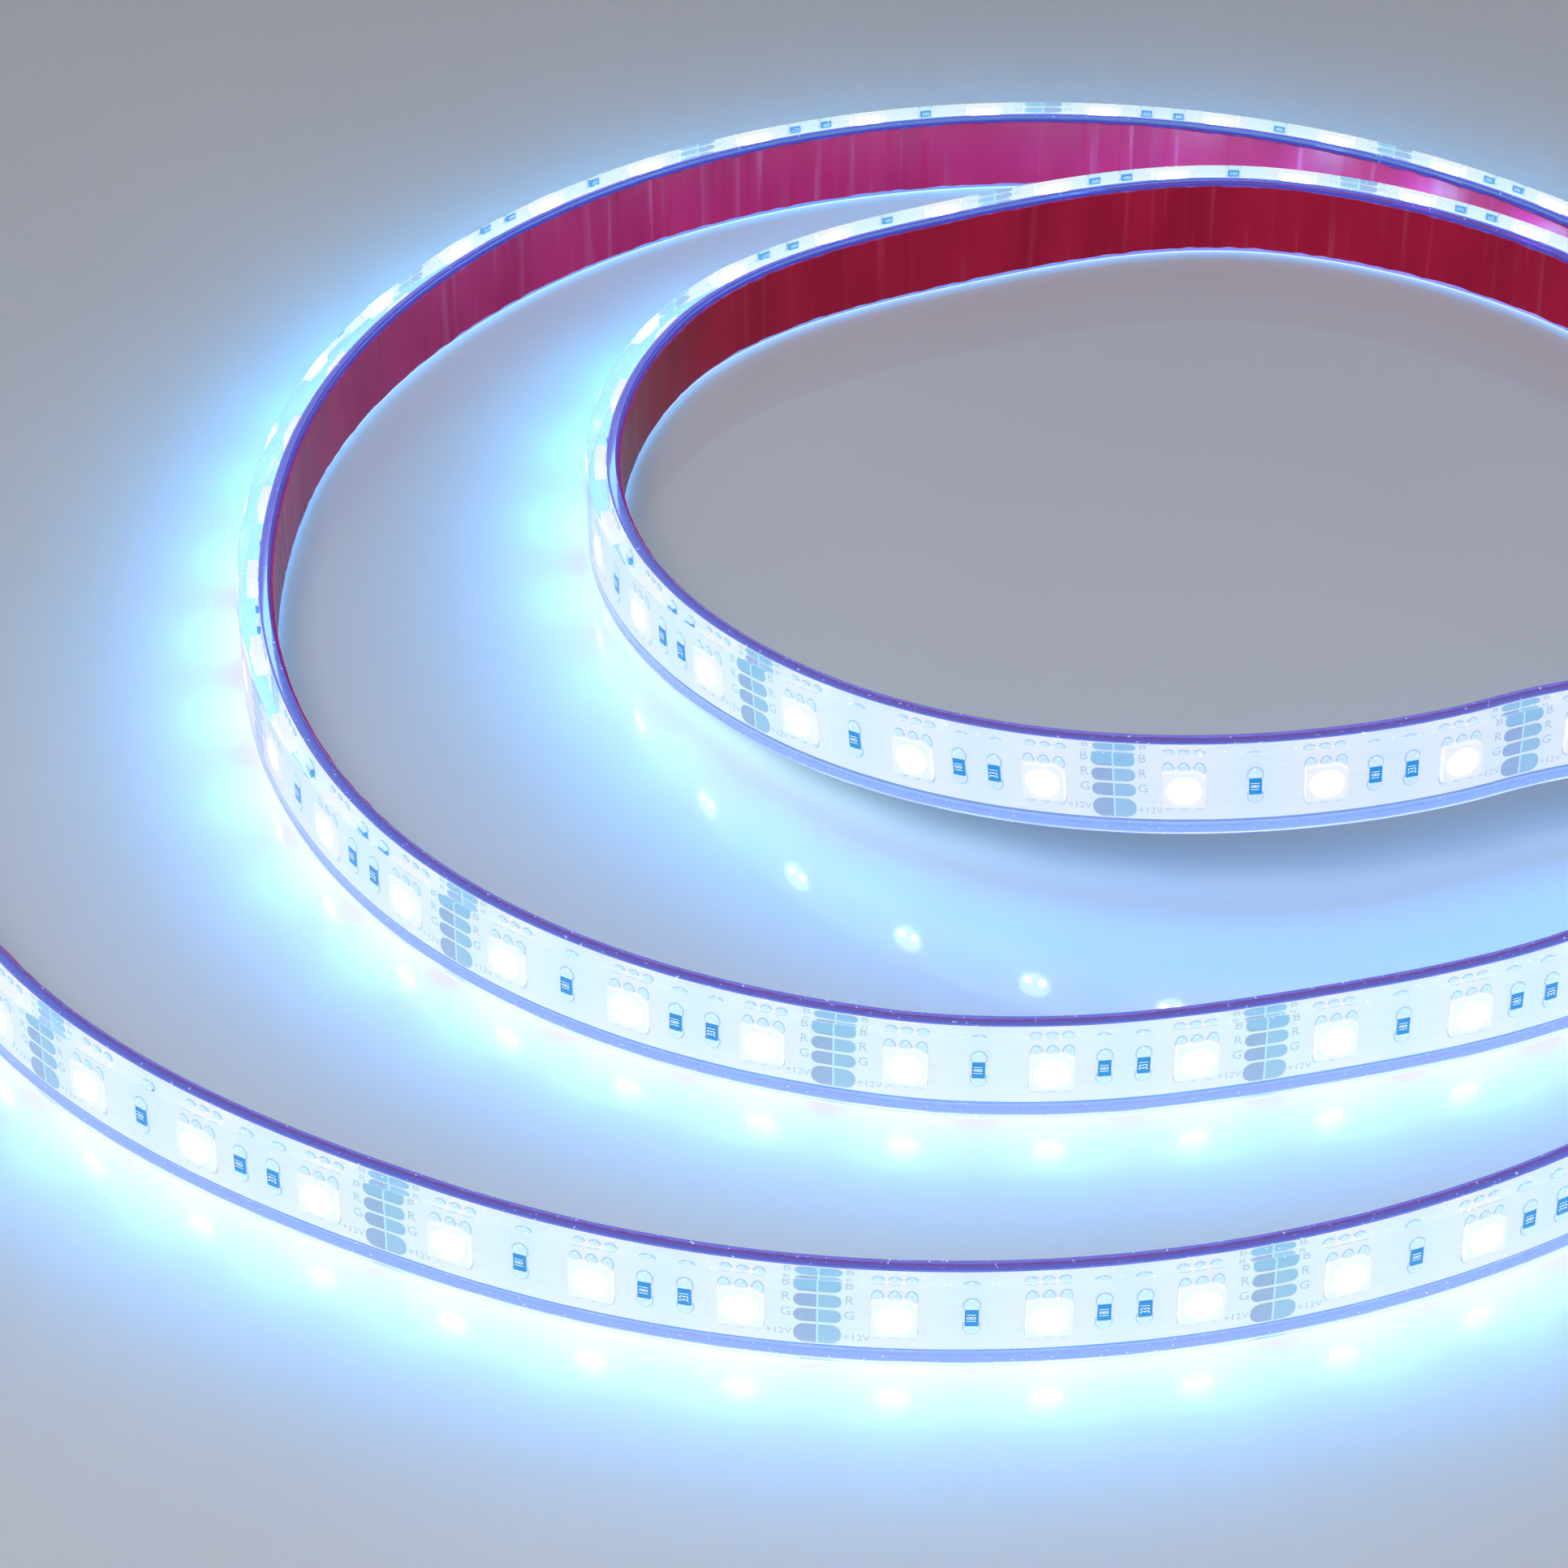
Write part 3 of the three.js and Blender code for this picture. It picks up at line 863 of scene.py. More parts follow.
class Workpiece:
    """One piece, modelled along the straight strip: x along it, y outwards and z up its width."""

    parallel_slack: float = 1e-4
    whole_share: float = 0.9

    def __init__(self, route: Route, name: str) -> None:
        """Starts an empty piece.

        Args:
            route: Line that the piece is laid along at the end.
            name: Name of the finished object.
        """
        self.route = route
        self.name = name
        self.bm = bmesh.new()
        self.uv_layer = self.bm.loops.layers.uv.new(UV_NAME)

    def block(self, low: Point, high: Point) -> list[BMVert]:
        """Adds a box between two corners."""
        size = Vector(high) - Vector(low)
        middle = (Vector(high) + Vector(low)) / 2
        matrix = Matrix.Translation(middle) @ Matrix.Diagonal((*size, 1))
        return bmesh.ops.create_cube(self.bm, size=1, matrix=matrix)["verts"]

    def edges_of(self, verts: Iterable[BMVert], axis: int, test: Callable[[Vector], bool]) -> list[BMEdge]:
        """Edges parallel to an axis whose middle passes a test.

        Args:
            verts: Vertices of the shape.
            axis: 0, 1 or 2 for x, y or z.
            test: Takes the middle of an edge.

        Returns:
            The edges found.
        """
        found = []
        for edge in {e for v in verts for e in v.link_edges}:
            span = edge.verts[1].co - edge.verts[0].co
            middle = (edge.verts[1].co + edge.verts[0].co) / 2
            is_parallel = abs(abs(span.normalized()[axis]) - 1) < self.parallel_slack
            if is_parallel and test(middle):
                found.append(edge)
        return found

    def round_off(self, edges: list[BMEdge], radius: float, segments: int) -> None:
        """Rounds edges over."""
        bmesh.ops.bevel(
            self.bm, geom=edges, offset=radius, offset_type="OFFSET", affect="EDGES",
            segments=segments, profile=0.5, material=-1, clamp_overlap=True,
        )

    def slice_along(self, step: float) -> None:
        """Cuts all lengthwise edges so that the piece can follow the route."""
        edges = self.edges_of(self.bm.verts, 0, lambda middle: True)
        longest = max(edge.calc_length() for edge in edges)
        edges = [edge for edge in edges if edge.calc_length() > self.whole_share * longest]
        cuts = max(1, round(longest / step) - 1)
        bmesh.ops.subdivide_edges(self.bm, edges=edges, cuts=cuts, use_grid_fill=True)

    def flatten_uv(self) -> None:
        """Gives every corner its length and height in millimetres as UV."""
        for face in self.bm.faces:
            for loop in face.loops:
                loop[self.uv_layer].uv = (loop.vert.co.x / MM, loop.vert.co.z / MM)

    def repeat(self, places: Iterable[float]) -> None:
        """Repeats what is modelled so far at each length, keeping its own UV."""
        template = bpy.data.meshes.new("template")
        self.bm.to_mesh(template)
        self.bm.clear()
        travelled = 0.0
        for place in places:
            template.transform(Matrix.Translation((place - travelled, 0, 0)))
            travelled = place
            self.bm.from_mesh(template)
        bpy.data.meshes.remove(template)
        self.uv_layer = self.bm.loops.layers.uv[UV_NAME]

    def spread(
        self, places: Iterable[float], finish: Finish, smooth: bool = False
    ) -> Object:
        """Repeats the piece at each length and lays it in one finish.

        Args:
            places: Lengths at which the piece stands.
            finish: What it is made of.
            smooth: Whether faces are shaded smoothly.

        Returns:
            The object, riding on the part.
        """
        self.flatten_uv()
        self.repeat(places)
        return self.lay([finish.build()], smooth=smooth)

    def lay(
        self, materials: list[Material], replaces: tuple[str, ...] = (), smooth: bool = True
    ) -> Object:
        """Lays the piece along the route and hands over the finished object.

        Args:
            materials: Finishes, in the order of the faces' material numbers.
            replaces: CAD nodes that the piece stands for.
            smooth: Whether faces are shaded smoothly.

        Returns:
            The object, riding on the part.
        """
        mesh = bpy.data.meshes.new(self.name)
        bmesh.ops.recalc_face_normals(self.bm, faces=self.bm.faces)
        self.bm.to_mesh(mesh)
        self.bm.free()
        points = np.empty(len(mesh.vertices) * 3)
        mesh.vertices.foreach_get("co", points)
        laid = self.route.place(points.reshape(-1, 3))
        mesh.vertices.foreach_set("co", laid.astype(np.float32).ravel())
        if smooth:
            mesh.shade_smooth()
        for material in materials:
            mesh.materials.append(material)
        mesh.update()
        piece = bpy.data.objects.new(self.name, mesh)
        bpy.context.scene.collection.objects.link(piece)
        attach(piece, BODY)
        if replaces:
            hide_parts(*replaces)
        return piece


@dataclass
class Assembly:
    """Pieces that are laid along the same route."""

    route: Route
    layout: Layout


@dataclass
class SiliconeBody(Assembly):
    """Clear body that the board is cast in."""

    corner: float = 0.2 * MM
    corner_segments: int = 3
    hold: float = 0.03 * MM
    # Depths where the silicone's painted glow starts to fade; the body is cut there.
    glow_depths: tuple[float, float] = (0.0, 0.7 * MM)
    step: float = 1.5 * MM

    def build(self) -> Object:
        """Models the body as one solid round everything inside it."""
        layout = self.layout
        work = Workpiece(self.route, "clear_body")
        half = layout.body_height / 2
        back = layout.body_back
        front = layout.body_front - layout.facet_relief
        verts = work.block((0, back, -half), (layout.length, front, half))
        work.round_off(work.edges_of(verts, 0, lambda middle: True), self.corner, self.corner_segments)
        inset = self.corner + self.hold
        for normal, limit in (
            ((0, 0, 1), half - inset), ((0, 0, 1), inset - half),
            ((0, 1, 0), front - inset), ((0, 1, 0), back + inset),
            *(((0, 1, 0), depth) for depth in self.glow_depths),
        ):
            everything = [*work.bm.verts, *work.bm.edges, *work.bm.faces]
            point = Vector(normal) * limit
            bmesh.ops.bisect_plane(work.bm, geom=everything, plane_co=point, plane_no=normal)
        work.slice_along(self.step)
        work.flatten_uv()
        depth_layer = work.bm.loops.layers.uv.new(DEPTH_UV)
        for face in work.bm.faces:
            for loop in face.loops:
                loop[depth_layer].uv = (loop.vert.co.y / MM, 0.0)
        return work.lay([ClearSilicone().build()], ("silicone_body",))


@dataclass
class Boards(Assembly):
    """Flexible boards, soldered end to end, with the copper and lettering of each cut."""

    step: float = 2 * MM
    pad_length: float = 2.5 * MM
    pad_heights: tuple[float, ...] = (1.9 * MM, 1.85 * MM, 1.85 * MM, 2.75 * MM)
    pad_gap: float = 0.38 * MM
    pad_thickness: float = 0.05 * MM
    pad_rounding: float = 0.46
    pad_rounding_segments: int = 5
    bottom_margin: float = 0.22 * MM
    cut_width: float = 0.22 * MM
    cut_rise: float = 0.02 * MM
    cut_margin: float = 0.1 * MM
    letter_size: float = 1.75 * MM
    supply_size: float = 1.35 * MM
    letter_centre: float = 3.45 * MM
    supply_centre: float = 4.25 * MM
    letter_lift: float = 0.25 * MM
    supply_drop: float = 0.3 * MM

    def build(self) -> list[Object]:
        """Models the boards and what is printed and plated on them."""
        pieces = self._boards()
        pieces.append(self._pads())
        pieces.append(self._cut_lines())
        pieces.append(self._letters())
        return pieces

    def _boards(self) -> list[Object]:
        """Models each length of board."""
        layout = self.layout
        front = LitBoard(layout.pitch).build()
        back = BoardBack().build()
        pieces = []
        half = layout.board_width / 2
        gap = layout.board_joint_gap / 2
        for number, first in enumerate(range(0, layout.section_count, layout.sections_per_board), 1):
            last = min(first + layout.sections_per_board, layout.section_count)
            work = Workpiece(self.route, f"board_{number}")
            low = (first * layout.section + gap, -layout.board_half, -half)
            high = (last * layout.section - gap, layout.board_half, half)
            work.block(low, high)
            work.slice_along(self.step)
            for face in work.bm.faces:
                faces_out = face.calc_center_median().y > layout.board_half - layout.bond
                face.material_index = 0 if faces_out else 1
            work.flatten_uv()
            pieces.append(work.lay([front, back], (f"flex_board_{number}",), smooth=False))
        return pieces

    def _pad_centres(self) -> list[float]:
        """Heights of the pad centres, from the top pad down."""
        centres = []
        level = -self.layout.board_width / 2 + self.bottom_margin
        for height in reversed(self.pad_heights):
            centres.append(level + height / 2)
            level += height + self.pad_gap
        return centres[::-1]

    def _pads(self) -> Object:
        """Models the four pads on each side of every cut, round at their outer ends."""
        front = self.layout.board_half
        work = Workpiece(self.route, "copper_pads")
        for centre, height in zip(self._pad_centres(), self.pad_heights):
            for side in (-1, 1):
                inner = side * self.cut_width / 2
                outer = side * (self.cut_width / 2 + self.pad_length)
                low = (min(inner, outer), front - self.layout.bond, centre - height / 2)
                high = (max(inner, outer), front + self.pad_thickness, centre + height / 2)
                verts = work.block(low, high)
                ends = work.edges_of(verts, 1, lambda m, end=outer: math.isclose(m.x, end, rel_tol=0.01))
                work.round_off(ends, self.pad_rounding * height, self.pad_rounding_segments)
        return work.spread(self.layout.cut_places(), PadFinish())

    def _cut_lines(self) -> Object:
        """Models the printed line across each cut."""
        front = self.layout.board_half
        across = self.cut_width / 2
        up = self.layout.board_width / 2 - self.cut_margin
        rise = self.pad_thickness + self.cut_rise
        work = Workpiece(self.route, "cut_lines")
        work.block((-across, front - self.layout.bond, -up), (across, front + rise, up))
        finish = Glowing("cut_line_print", INNER_PAINT, rgb(176, 208, 220), rgb(182, 212, 222))
        return work.spread(self.layout.cut_places(), finish)

    def _letters(self) -> Object:
        """Models the terminal lettering on both sides of every cut."""
        front = self.layout.board_half
        work = Workpiece(self.route, "terminal_letters")
        for terminal, level in zip(Terminal, self._pad_centres()):
            is_supply = terminal is Terminal.SUPPLY
            size = self.supply_size if is_supply else self.letter_size
            reach = self.supply_centre if is_supply else self.letter_centre
            lift = 0.0 if is_supply else self.letter_lift
            for side in (-1, 1):
                drop = self.supply_drop if is_supply and side < 0 else 0.0
                middle = (side * reach, front + self.layout.print_lift, level + lift - drop)
                add_words(work, terminal.value, size, middle)
        finish = Glowing("board_print", rgb(50, 52, 56), rgb(164, 178, 200), rgb(172, 186, 206))
        return work.spread(self.layout.cut_places(), finish)


def add_words(
    work: Workpiece, words: str, size: float, middle: Point, upright: bool = False, squeeze: float = 1.0
) -> None:
    """Adds flat lettering that faces outwards.

    Args:
        work: Piece to add to.
        words: Letters or digits.
        size: Size of the lettering.
        middle: Its centre on the straight strip.
        upright: Whether it reads upwards instead of across.
        squeeze: How much narrower than usual it is.
    """
    curve = bpy.data.curves.new("words", "FONT")
    curve.body = words
    curve.size = size
    curve.align_x = "CENTER"
    curve.align_y = "CENTER"
    curve.resolution_u = 2
    holder = bpy.data.objects.new("words", curve)
    bpy.context.scene.collection.objects.link(holder)
    bpy.context.view_layer.update()
    mesh = bpy.data.meshes.new_from_object(holder.evaluated_get(bpy.context.evaluated_depsgraph_get()))
    bpy.data.objects.remove(holder)
    bpy.data.curves.remove(curve)
    across, rise = Vector((-1, 0, 0)), Vector((0, 0, 1))
    if upright:
        across, rise = Vector((0, 0, 1)), Vector((1, 0, 0))
    out = Vector((0, 1, 0))
    turn = Matrix((across, rise, out)).transposed().to_4x4()
    mesh.transform(Matrix.Translation(middle) @ turn @ Matrix.Diagonal((squeeze, 1, 1, 1)))
    work.bm.from_mesh(mesh)
    bpy.data.meshes.remove(mesh)
    work.uv_layer = work.bm.loops.layers.uv[UV_NAME]


@dataclass
class Leds(Assembly):
    """LED packages: housing, glowing window, dies and soldered leads."""

    side: float = 5 * MM
    height: float = 1.6 * MM
    corner_cut: float = 0.8 * MM
    window_radius: float = 2.1 * MM
    window_floor_radius: float = 1.8 * MM
    window_depth: float = 0.25 * MM
    window_sides: int = 24
    resin_share: float = 0.97
    resin_drop: float = 0.06 * MM
    resin_crown: float = 0.04 * MM
    crown_share: float = 0.5
    die_side: float = 0.9 * MM
    die_spread: float = 0.9 * MM
    die_drop: float = 0.5 * MM
    die_sink: float = 0.05 * MM
    die_rounding: float = 0.3
    lead_width: float = 1.5 * MM
    lead_reach: float = 1.15 * MM
    lead_rise: float = 0.4 * MM
    lead_spacing: float = 1.85 * MM

    @property
    def front(self) -> float:
        """Depth of the package's front face."""
        return self.layout.board_half + self.height

    def build(self) -> list[Object]:
        """Models each kind of piece once and repeats it at every LED."""
        return [self._housings(), self._windows(), self._dies(), self._leads()]

    def _housings(self) -> Object:
        """Models the white housing with its round cup and one cut corner."""
        work = Workpiece(self.route, "led_housings")
        half = self.side / 2
        verts = work.block((-half, self.layout.board_half, -half), (half, self.front, half))
        corner = work.edges_of(verts, 1, lambda m: m.x < 0 and m.z > 0)
        work.round_off(corner, self.corner_cut, 1)
        top = [f for f in work.bm.faces if f.calc_center_median().y > self.front - self.layout.bond]
        rim = list({e for f in top for e in f.edges})
        bmesh.ops.delete(work.bm, geom=top, context="FACES_ONLY")
        ring = self._circle(work, self.window_radius, self.front)
        bmesh.ops.bridge_loops(work.bm, edges=rim + ring)
        wall = bmesh.ops.extrude_edge_only(work.bm, edges=ring)["geom"]
        floor_verts = [g for g in wall if isinstance(g, BMVert)]
        share = self.window_floor_radius / self.window_radius
        bmesh.ops.scale(work.bm, vec=(share, 1, share), verts=floor_verts)
        bmesh.ops.translate(work.bm, vec=(0, -self.window_depth, 0), verts=floor_verts)
        wall_edges = [g for g in wall if isinstance(g, BMEdge)]
        floor_edges = [e for e in wall_edges if set(e.verts) <= set(floor_verts)]
        bmesh.ops.contextual_create(work.bm, geom=floor_edges)
        # The housing is no lamp: its glow is painted light from the LED.
        finish = Lamp("led_housing", rgb(238, 230, 227), rgb(231, 225, 223), strength=1.0, reach=3.4)
        return work.spread(self.layout.led_places(), finish)

    def _circle(self, work: Workpiece, radius: float, depth: float) -> list[BMEdge]:
        """Adds an open ring of edges that faces outwards."""
        turn = Matrix.Translation((0, depth, 0)) @ Matrix.Rotation(math.pi / 2, 4, "X")
        ring = bmesh.ops.create_circle(
            work.bm, cap_ends=False, segments=self.window_sides, radius=radius, matrix=turn
        )
        return list({e for v in ring["verts"] for e in v.link_edges})

    def _windows(self) -> Object:
        """Models the resin that fills the cup, slightly domed."""
        work = Workpiece(self.route, "led_windows")
        ring = self._circle(work, self.resin_share * self.window_radius, self.front - self.resin_drop)
        disc = bmesh.ops.contextual_create(work.bm, geom=ring)["faces"]
        slope = self.crown_share * self.window_radius
        bmesh.ops.inset_region(work.bm, faces=disc, thickness=slope, depth=self.resin_crown)
        finish = Lamp(
            "led_window", (0.95, 1.0, 1.0, 1.0), (0.8, 0.97, 1.0, 1.0), strength=3.7, reach=2.1,
            cast=(1.3, 20.5, 49.0, 1.0),
        )
        return work.spread(self.layout.led_places(), finish, smooth=True)

    def _dies(self) -> Object:
        """Models the two lit dies as they shine through the resin."""
        work = Workpiece(self.route, "led_dies")
        half = self.die_side / 2
        for side in (-1, 1):
            x = side * self.die_spread
            low = (x - half, self.front - self.die_sink, -self.die_drop - half)
            high = (x + half, self.front + self.layout.bond, -self.die_drop + half)
            verts = work.block(low, high)
            corners = work.edges_of(verts, 1, lambda middle: True)
            work.round_off(corners, self.die_rounding * self.die_side, 2)
        finish = Lamp("led_die", (0.95, 1.0, 1.0, 1.0), (0.9, 1.0, 1.0, 1.0), strength=32.0, reach=2.1)
        return work.spread(self.layout.led_places(), finish)

    def _leads(self) -> Object:
        """Models the three soldered leads above and below each package."""
        work = Workpiece(self.route, "led_solder")
        for level in (-1, 1):
            for number in (-1, 0, 1):
                middle = (number * self.lead_spacing, self.layout.board_half, level * self.side / 2)
                size = (self.lead_width / 2, self.lead_rise, self.lead_reach)
                add_dome(work, middle, size)
        finish = SolderFinish(
            "led_solder", self.lead_spacing, self.side / 2, self.lead_width / 2, self.lead_reach
        )
        return work.spread(self.layout.led_places(), finish, smooth=True)


def add_dome(work: Workpiece, middle: Point, size: Point) -> None:
    """Adds a low dome of solder on the board.

    Args:
        work: Piece to add to.
        middle: Centre of its foot.
        size: Half its length, its height and half its width.
    """
    stretch = Matrix.Diagonal((*size, 1))
    matrix = Matrix.Translation(middle) @ stretch @ Matrix.Rotation(math.pi / 2, 4, "X")
    ball = bmesh.ops.create_uvsphere(
        work.bm, u_segments=DOME_SEGMENTS, v_segments=DOME_RINGS, radius=1, matrix=matrix
    )["verts"]
    edges = list({e for v in ball for e in v.link_edges})
    faces = list({f for v in ball for f in v.link_faces})
    foot_level = Vector((0, middle[1] - DOME_SINK, 0))
    cut = bmesh.ops.bisect_plane(
        work.bm, geom=ball + edges + faces, plane_co=foot_level, plane_no=(0, 1, 0), clear_inner=True
    )
    foot = [g for g in cut["geom_cut"] if isinstance(g, BMEdge)]
    bmesh.ops.contextual_create(work.bm, geom=foot)


@dataclass(frozen=True)
class ResistorPlace:
    """Resistor in each section: which LED it follows, how far, and its value code."""

    after_led: int
    pitches: float
    code: str


@dataclass
class Resistors(Assembly):
    """Chip resistors, three in each section, with their solder."""

    length: float = 3.3 * MM
    width: float = 1.5 * MM
    height: float = 0.55 * MM
    cap: float = 0.45 * MM
    cap_proud: float = 0.02 * MM
    cap_rise: float = 0.03 * MM
    cap_rounding: float = 0.12 * MM
    body_rounding: float = 0.05 * MM
    rounded_above: float = 0.1 * MM
    solder_inset: float = 0.1 * MM
    solder_height: float = 0.8
    lone_spacing: float = 6 * MM
    solder_reach: float = 1.2 * MM
    solder_half_width: float = 1.02 * MM
    code_size: float = 1.5 * MM
    code_squeeze: float = 0.6
    places: tuple[ResistorPlace, ...] = (
        ResistorPlace(0, 0.37, "331"),
        ResistorPlace(0, 0.64, "181"),
        ResistorPlace(1, 0.50, "181"),
    )

    def build(self) -> list[Object]:
        """Models bodies, end caps, solder and codes."""
        return [self._bodies(), self._caps(), self._solder(), self._codes()]

    def _lengths(self, wanted: tuple[ResistorPlace, ...]) -> list[float]:
        """Lengths of the resistors at the given places of every section."""
        layout = self.layout
        return [
            section * layout.section + (place.after_led + 0.5 + place.pitches) * layout.pitch
            for section in range(layout.section_count)
            for place in wanted
        ]

    def _bodies(self) -> Object:
        """Models the blue bodies between the end caps."""
        work = Workpiece(self.route, "resistor_bodies")
        reach = self.length / 2 - self.cap
        foot = self.layout.board_half
        low = (-self.width / 2, foot, -reach)
        verts = work.block(low, (self.width / 2, foot + self.height, reach))
        top = work.edges_of(verts, 2, lambda middle: middle.y > foot + self.rounded_above)
        work.round_off(top, self.body_rounding, 2)
        finish = Glowing(
            "resistor_glaze", rgb(2, 20, 30), rgb(0, 128, 206), rgb(0, 138, 214), roughness=0.25, grain=0.7
        )
        return work.spread(self._lengths(self.places), finish)

    def _caps(self) -> Object:
        """Models the tinned end caps."""
        work = Workpiece(self.route, "resistor_caps")
        foot = self.layout.board_half
        for level in (-1, 1):
            near = level * (self.length / 2 - self.cap)
            far = level * self.length / 2
            half = self.width / 2 + self.cap_proud
            verts = work.block(
                (-half, foot, min(near, far)), (half, foot + self.height + self.cap_rise, max(near, far))
            )
            top = work.edges_of(verts, 0, lambda middle: middle.y > foot + self.rounded_above)
            work.round_off(top, self.cap_rounding, 2)
        finish = Glowing(
            "tinned_cap", rgb(80, 90, 100), rgb(196, 204, 214), rgb(206, 212, 220), roughness=0.3,
            metallic=0.4,
        )
        return work.spread(self._lengths(self.places), finish)

    def _solder(self) -> Object:
        """Models the solder that wets both ends."""
        work = Workpiece(self.route, "resistor_solder")
        centre = self.length / 2 - self.solder_inset
        size = (self.solder_half_width, self.solder_height * self.height, self.solder_reach)
        for level in (-1, 1):
            add_dome(work, (0, self.layout.board_half, level * centre), size)
        finish = SolderFinish(
            "resistor_solder", self.lone_spacing, centre, self.solder_half_width, self.solder_reach
        )
        return work.spread(self._lengths(self.places), finish, smooth=True)

    def _codes(self) -> Object:
        """Models the value codes, which read upwards."""
        middle = (0, self.layout.board_half + self.height + self.layout.print_lift, 0)
        mesh_parts = []
        for code in sorted({place.code for place in self.places}):
            work = Workpiece(self.route, "code")
            add_words(work, code, self.code_size, middle, upright=True, squeeze=self.code_squeeze)
            work.flatten_uv()
            work.repeat(self._lengths(tuple(p for p in self.places if p.code == code)))
            part = bpy.data.meshes.new("codes")
            work.bm.to_mesh(part)
            work.bm.free()
            mesh_parts.append(part)
        work = Workpiece(self.route, "resistor_codes")
        for part in mesh_parts:
            work.bm.from_mesh(part)
            bpy.data.meshes.remove(part)
        finish = Glowing("code_print", INNER_PAINT, rgb(240, 244, 246), rgb(244, 247, 248))
        return work.lay([finish.build()], smooth=False)


@dataclass
class Backing(Assembly):
    """Double-sided tape and the red liner that protects it."""

    step: float = 0.6 * MM
    sink: float = 0.05 * MM
    coarse_rag: float = 0.088 * MM
    coarse_step: float = 6 * MM
    fine_rag: float = 0.198 * MM
    fine_step: float = 1.1 * MM
    liner_hold: float = 0.08 * MM
    liner_wander: float = 0.2 * MM
    wander_step: float = 1.8 * MM
    wrinkle: float = 0.01 * MM
    wrinkle_step: float = 3 * MM

    def build(self) -> list[Object]:
        """Models the tape and the liner."""
        return [self._tape(), self._liner()]

    @staticmethod
    def _wander(length: float, seed: float, scale: float) -> float:
        """Smooth uneven value from -1 to 1 along the strip."""
        return noise.noise(Vector((length / scale, seed, 0.5 * seed)))

    def _tape(self) -> Object:
        """Models the tape, pressed a little into the silicone, with ragged long edges."""
        layout = self.layout
        half = layout.tape_width / 2
        work = Workpiece(self.route, "tape_layer")
        work.block((0, layout.tape_back, -half), (layout.length, layout.body_back + self.sink, half))
        work.slice_along(self.step)
        for vert in work.bm.verts:
            side = 1 if vert.co.z > 0 else -1
            coarse = self._wander(vert.co.x, Seed.COARSE.value * side, self.coarse_step)
            fine = self._wander(vert.co.x, Seed.FINE.value * side, self.fine_step)
            vert.co.z += side * (self.coarse_rag * coarse + self.fine_rag * fine)
        work.flatten_uv()
        return work.lay([TapeFinish().build()], ("adhesive_tape",), smooth=False)

    def _liner(self) -> Object:
        """Models the liner, slightly wrinkled, its edges wandering on the tape."""
        layout = self.layout
        half = layout.liner_width / 2
        work = Workpiece(self.route, "red_liner")
        front = layout.liner_front + self.liner_hold
        work.block((0, layout.liner_back, -half), (layout.length, front, half))
        work.slice_along(self.step)
        for vert in work.bm.verts:
            side = 1 if vert.co.z > 0 else -1
            wander = self._wander(vert.co.x, Seed.LINER.value * side, self.wander_step)
            vert.co.z += side * self.liner_wander * wander
            if vert.co.y < layout.liner_front:
                lift = 0.5 + 0.5 * self._wander(vert.co.x, Seed.WRINKLE.value, self.wrinkle_step)
                vert.co.y += self.wrinkle * lift
        work.flatten_uv()
        return work.lay([LinerFinish().build()], ("release_liner",), smooth=False)


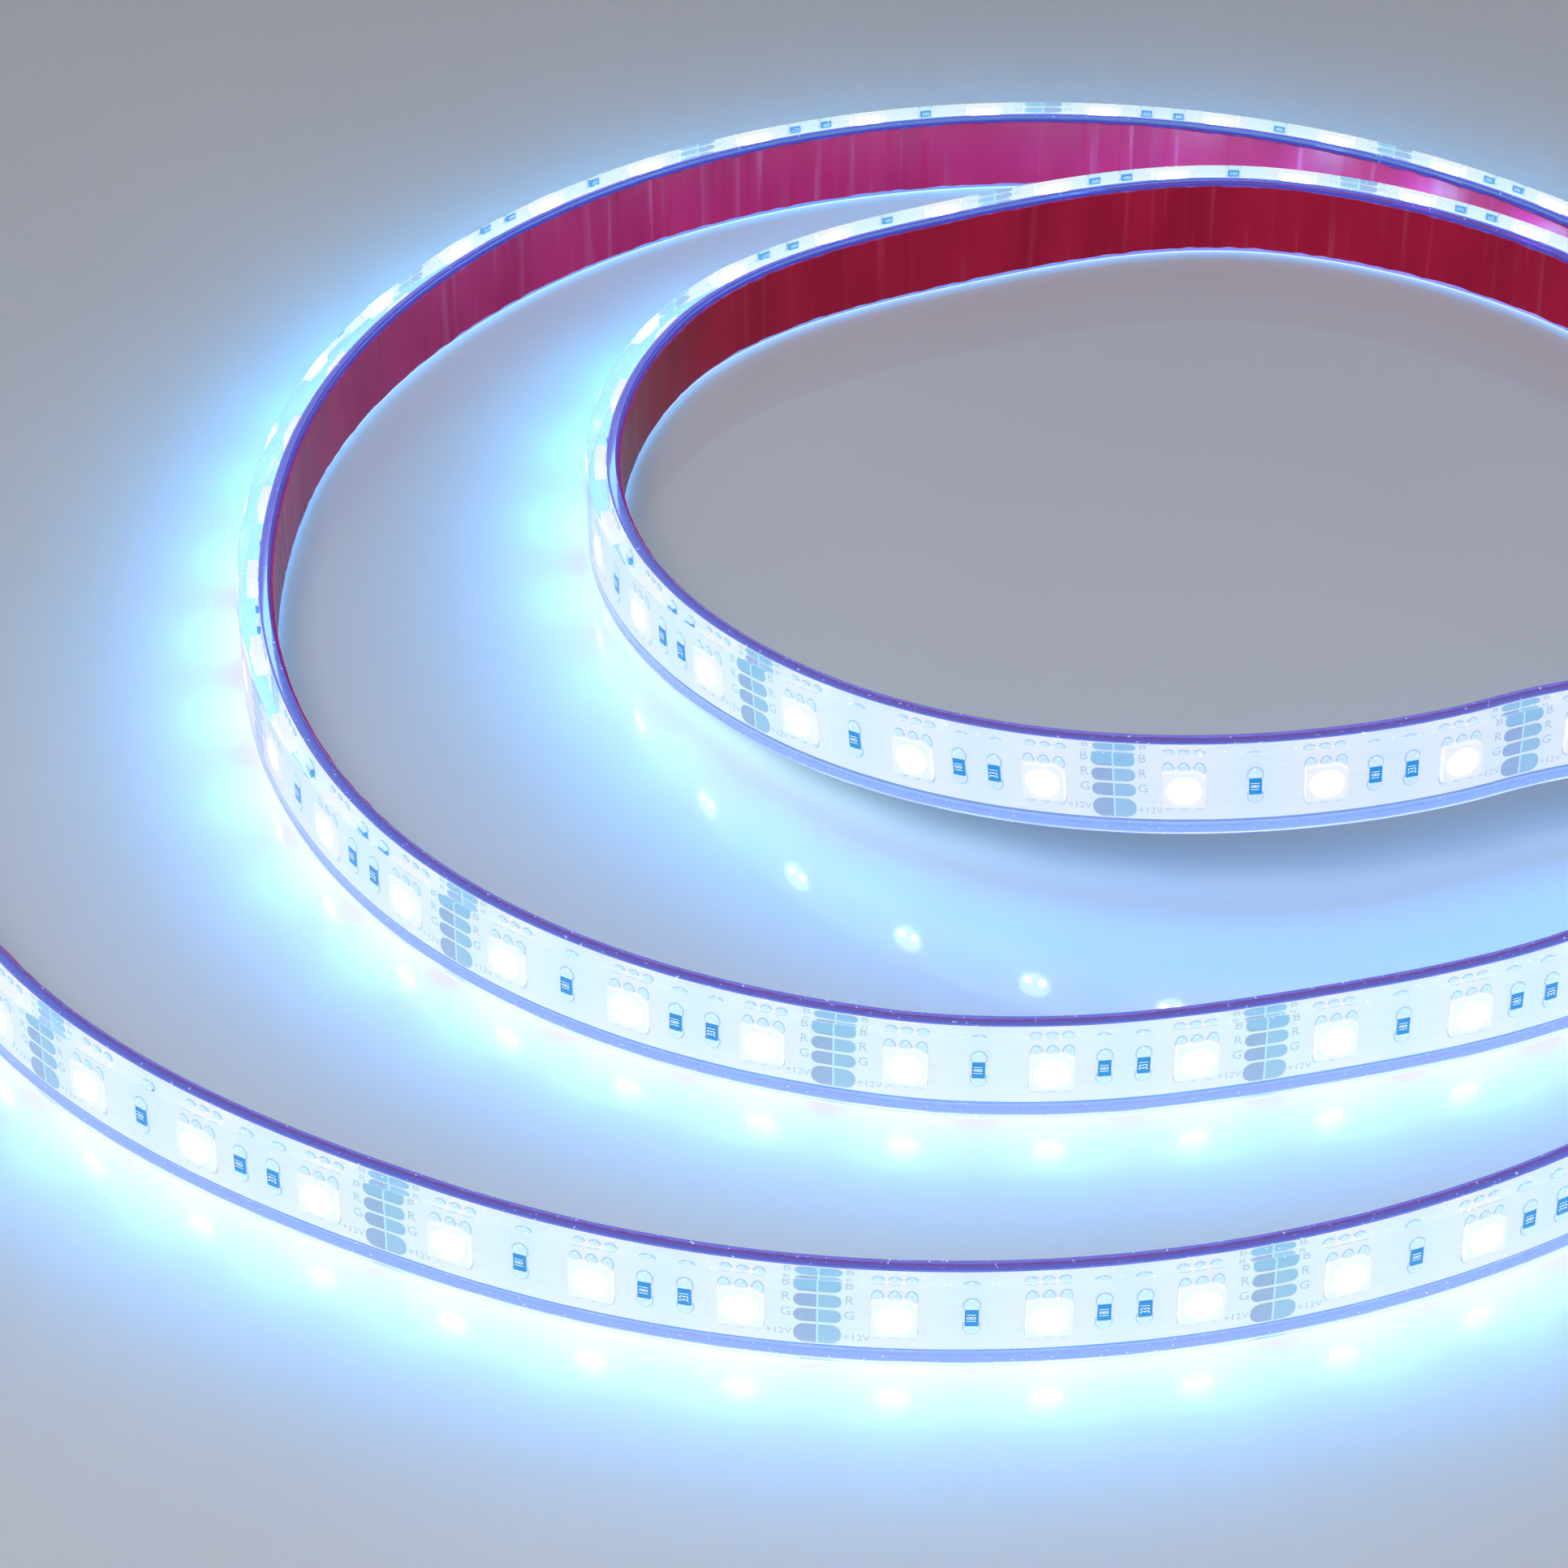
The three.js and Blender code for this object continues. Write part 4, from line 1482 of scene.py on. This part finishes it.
@dataclass
class Studio:
    """Floor, lamps, surrounding light and the camera."""

    floor_size: float = 6.0
    floor_squares: int = 8
    floor_drop: float = 0.04 * MM
    lens: float = 116.65
    sensor: float = 36.0
    clip_start: float = 0.01
    camera_place: Point = (-0.020572, -0.526167, 0.389737)
    camera_pitch: float = math.radians(90 - 37.72)
    key_power: float = 7.2
    key_size: float = 0.6
    key_place: Point = (-0.1, -0.42, 0.7)
    warm_white: Point = (1.0, 0.98, 0.97)
    sky_level: float = 0.26

    def build(self) -> None:
        """Sets everything round the object."""
        self._floor()
        self._lamps()
        self._camera()
        bpy.context.scene.view_settings.view_transform = "Standard"

    def _floor(self) -> None:
        """Lays the table top just under the strip."""
        bm = bmesh.new()
        place = Matrix.Translation((0, 0, -self.floor_drop))
        bmesh.ops.create_grid(
            bm, x_segments=self.floor_squares, y_segments=self.floor_squares, size=self.floor_size / 2,
            matrix=place,
        )
        mesh = bpy.data.meshes.new("table_top")
        bm.to_mesh(mesh)
        bm.free()
        mesh.materials.append(FloorFinish().build())
        floor = bpy.data.objects.new("table_top", mesh)
        bpy.context.scene.collection.objects.link(floor)
        floor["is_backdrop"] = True

    def _lamps(self) -> None:
        """Hangs one large soft lamp and evens it out with surrounding light."""
        lamp = bpy.data.lights.new("soft_box", "AREA")
        lamp.shape = "DISK"
        lamp.size = self.key_size
        lamp.energy = self.key_power
        lamp.color = self.warm_white
        holder = bpy.data.objects.new("soft_box", lamp)
        holder.location = self.key_place
        aim = Vector((0, 0, 0)) - holder.location
        holder.rotation_euler = aim.to_track_quat("-Z", "Y").to_euler()
        holder.visible_glossy = False
        bpy.context.scene.collection.objects.link(holder)
        world = bpy.data.worlds.new("studio")
        world.use_nodes = True
        background = world.node_tree.nodes["Background"]
        background.inputs["Color"].default_value = (*self.warm_white, 1.0)
        background.inputs["Strength"].default_value = self.sky_level
        bpy.context.scene.world = world

    def _camera(self) -> None:
        """Stands the camera where the photograph was taken from."""
        data = bpy.data.cameras.new("camera")
        data.sensor_width = self.sensor
        data.lens = self.lens
        data.clip_start = self.clip_start
        camera = bpy.data.objects.new("camera", data)
        camera.location = self.camera_place
        camera.rotation_euler = (self.camera_pitch, 0, 0)
        bpy.context.scene.collection.objects.link(camera)
        bpy.context.scene.camera = camera


def dress_caps() -> None:
    """Gives the two end caps their finish."""
    finish = CapFinish().build()
    for name in ("lead_end_cap", "blank_end_cap"):
        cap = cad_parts[name]
        cap.data.materials.clear()
        cap.data.materials.append(finish)


def corners() -> list[list[float]]:
    """Lowest and highest corners of the whole object."""
    return [[float(value) for value in corner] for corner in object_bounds()]


def main() -> None:
    logging.basicConfig(level=logging.INFO, format="%(name)s: %(message)s")
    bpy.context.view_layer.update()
    layout = Layout()
    route = Route(layout)
    Studio().build()
    pieces: list[Object] = [SiliconeBody(route, layout).build()]
    for group in (Boards, Leds, Resistors, Backing):
        pieces += group(route, layout).build()
    dress_caps()
    for piece in pieces:
        log.info("%s: %d faces", piece.name, len(piece.data.polygons))


if __name__ == "__main__":
    main()
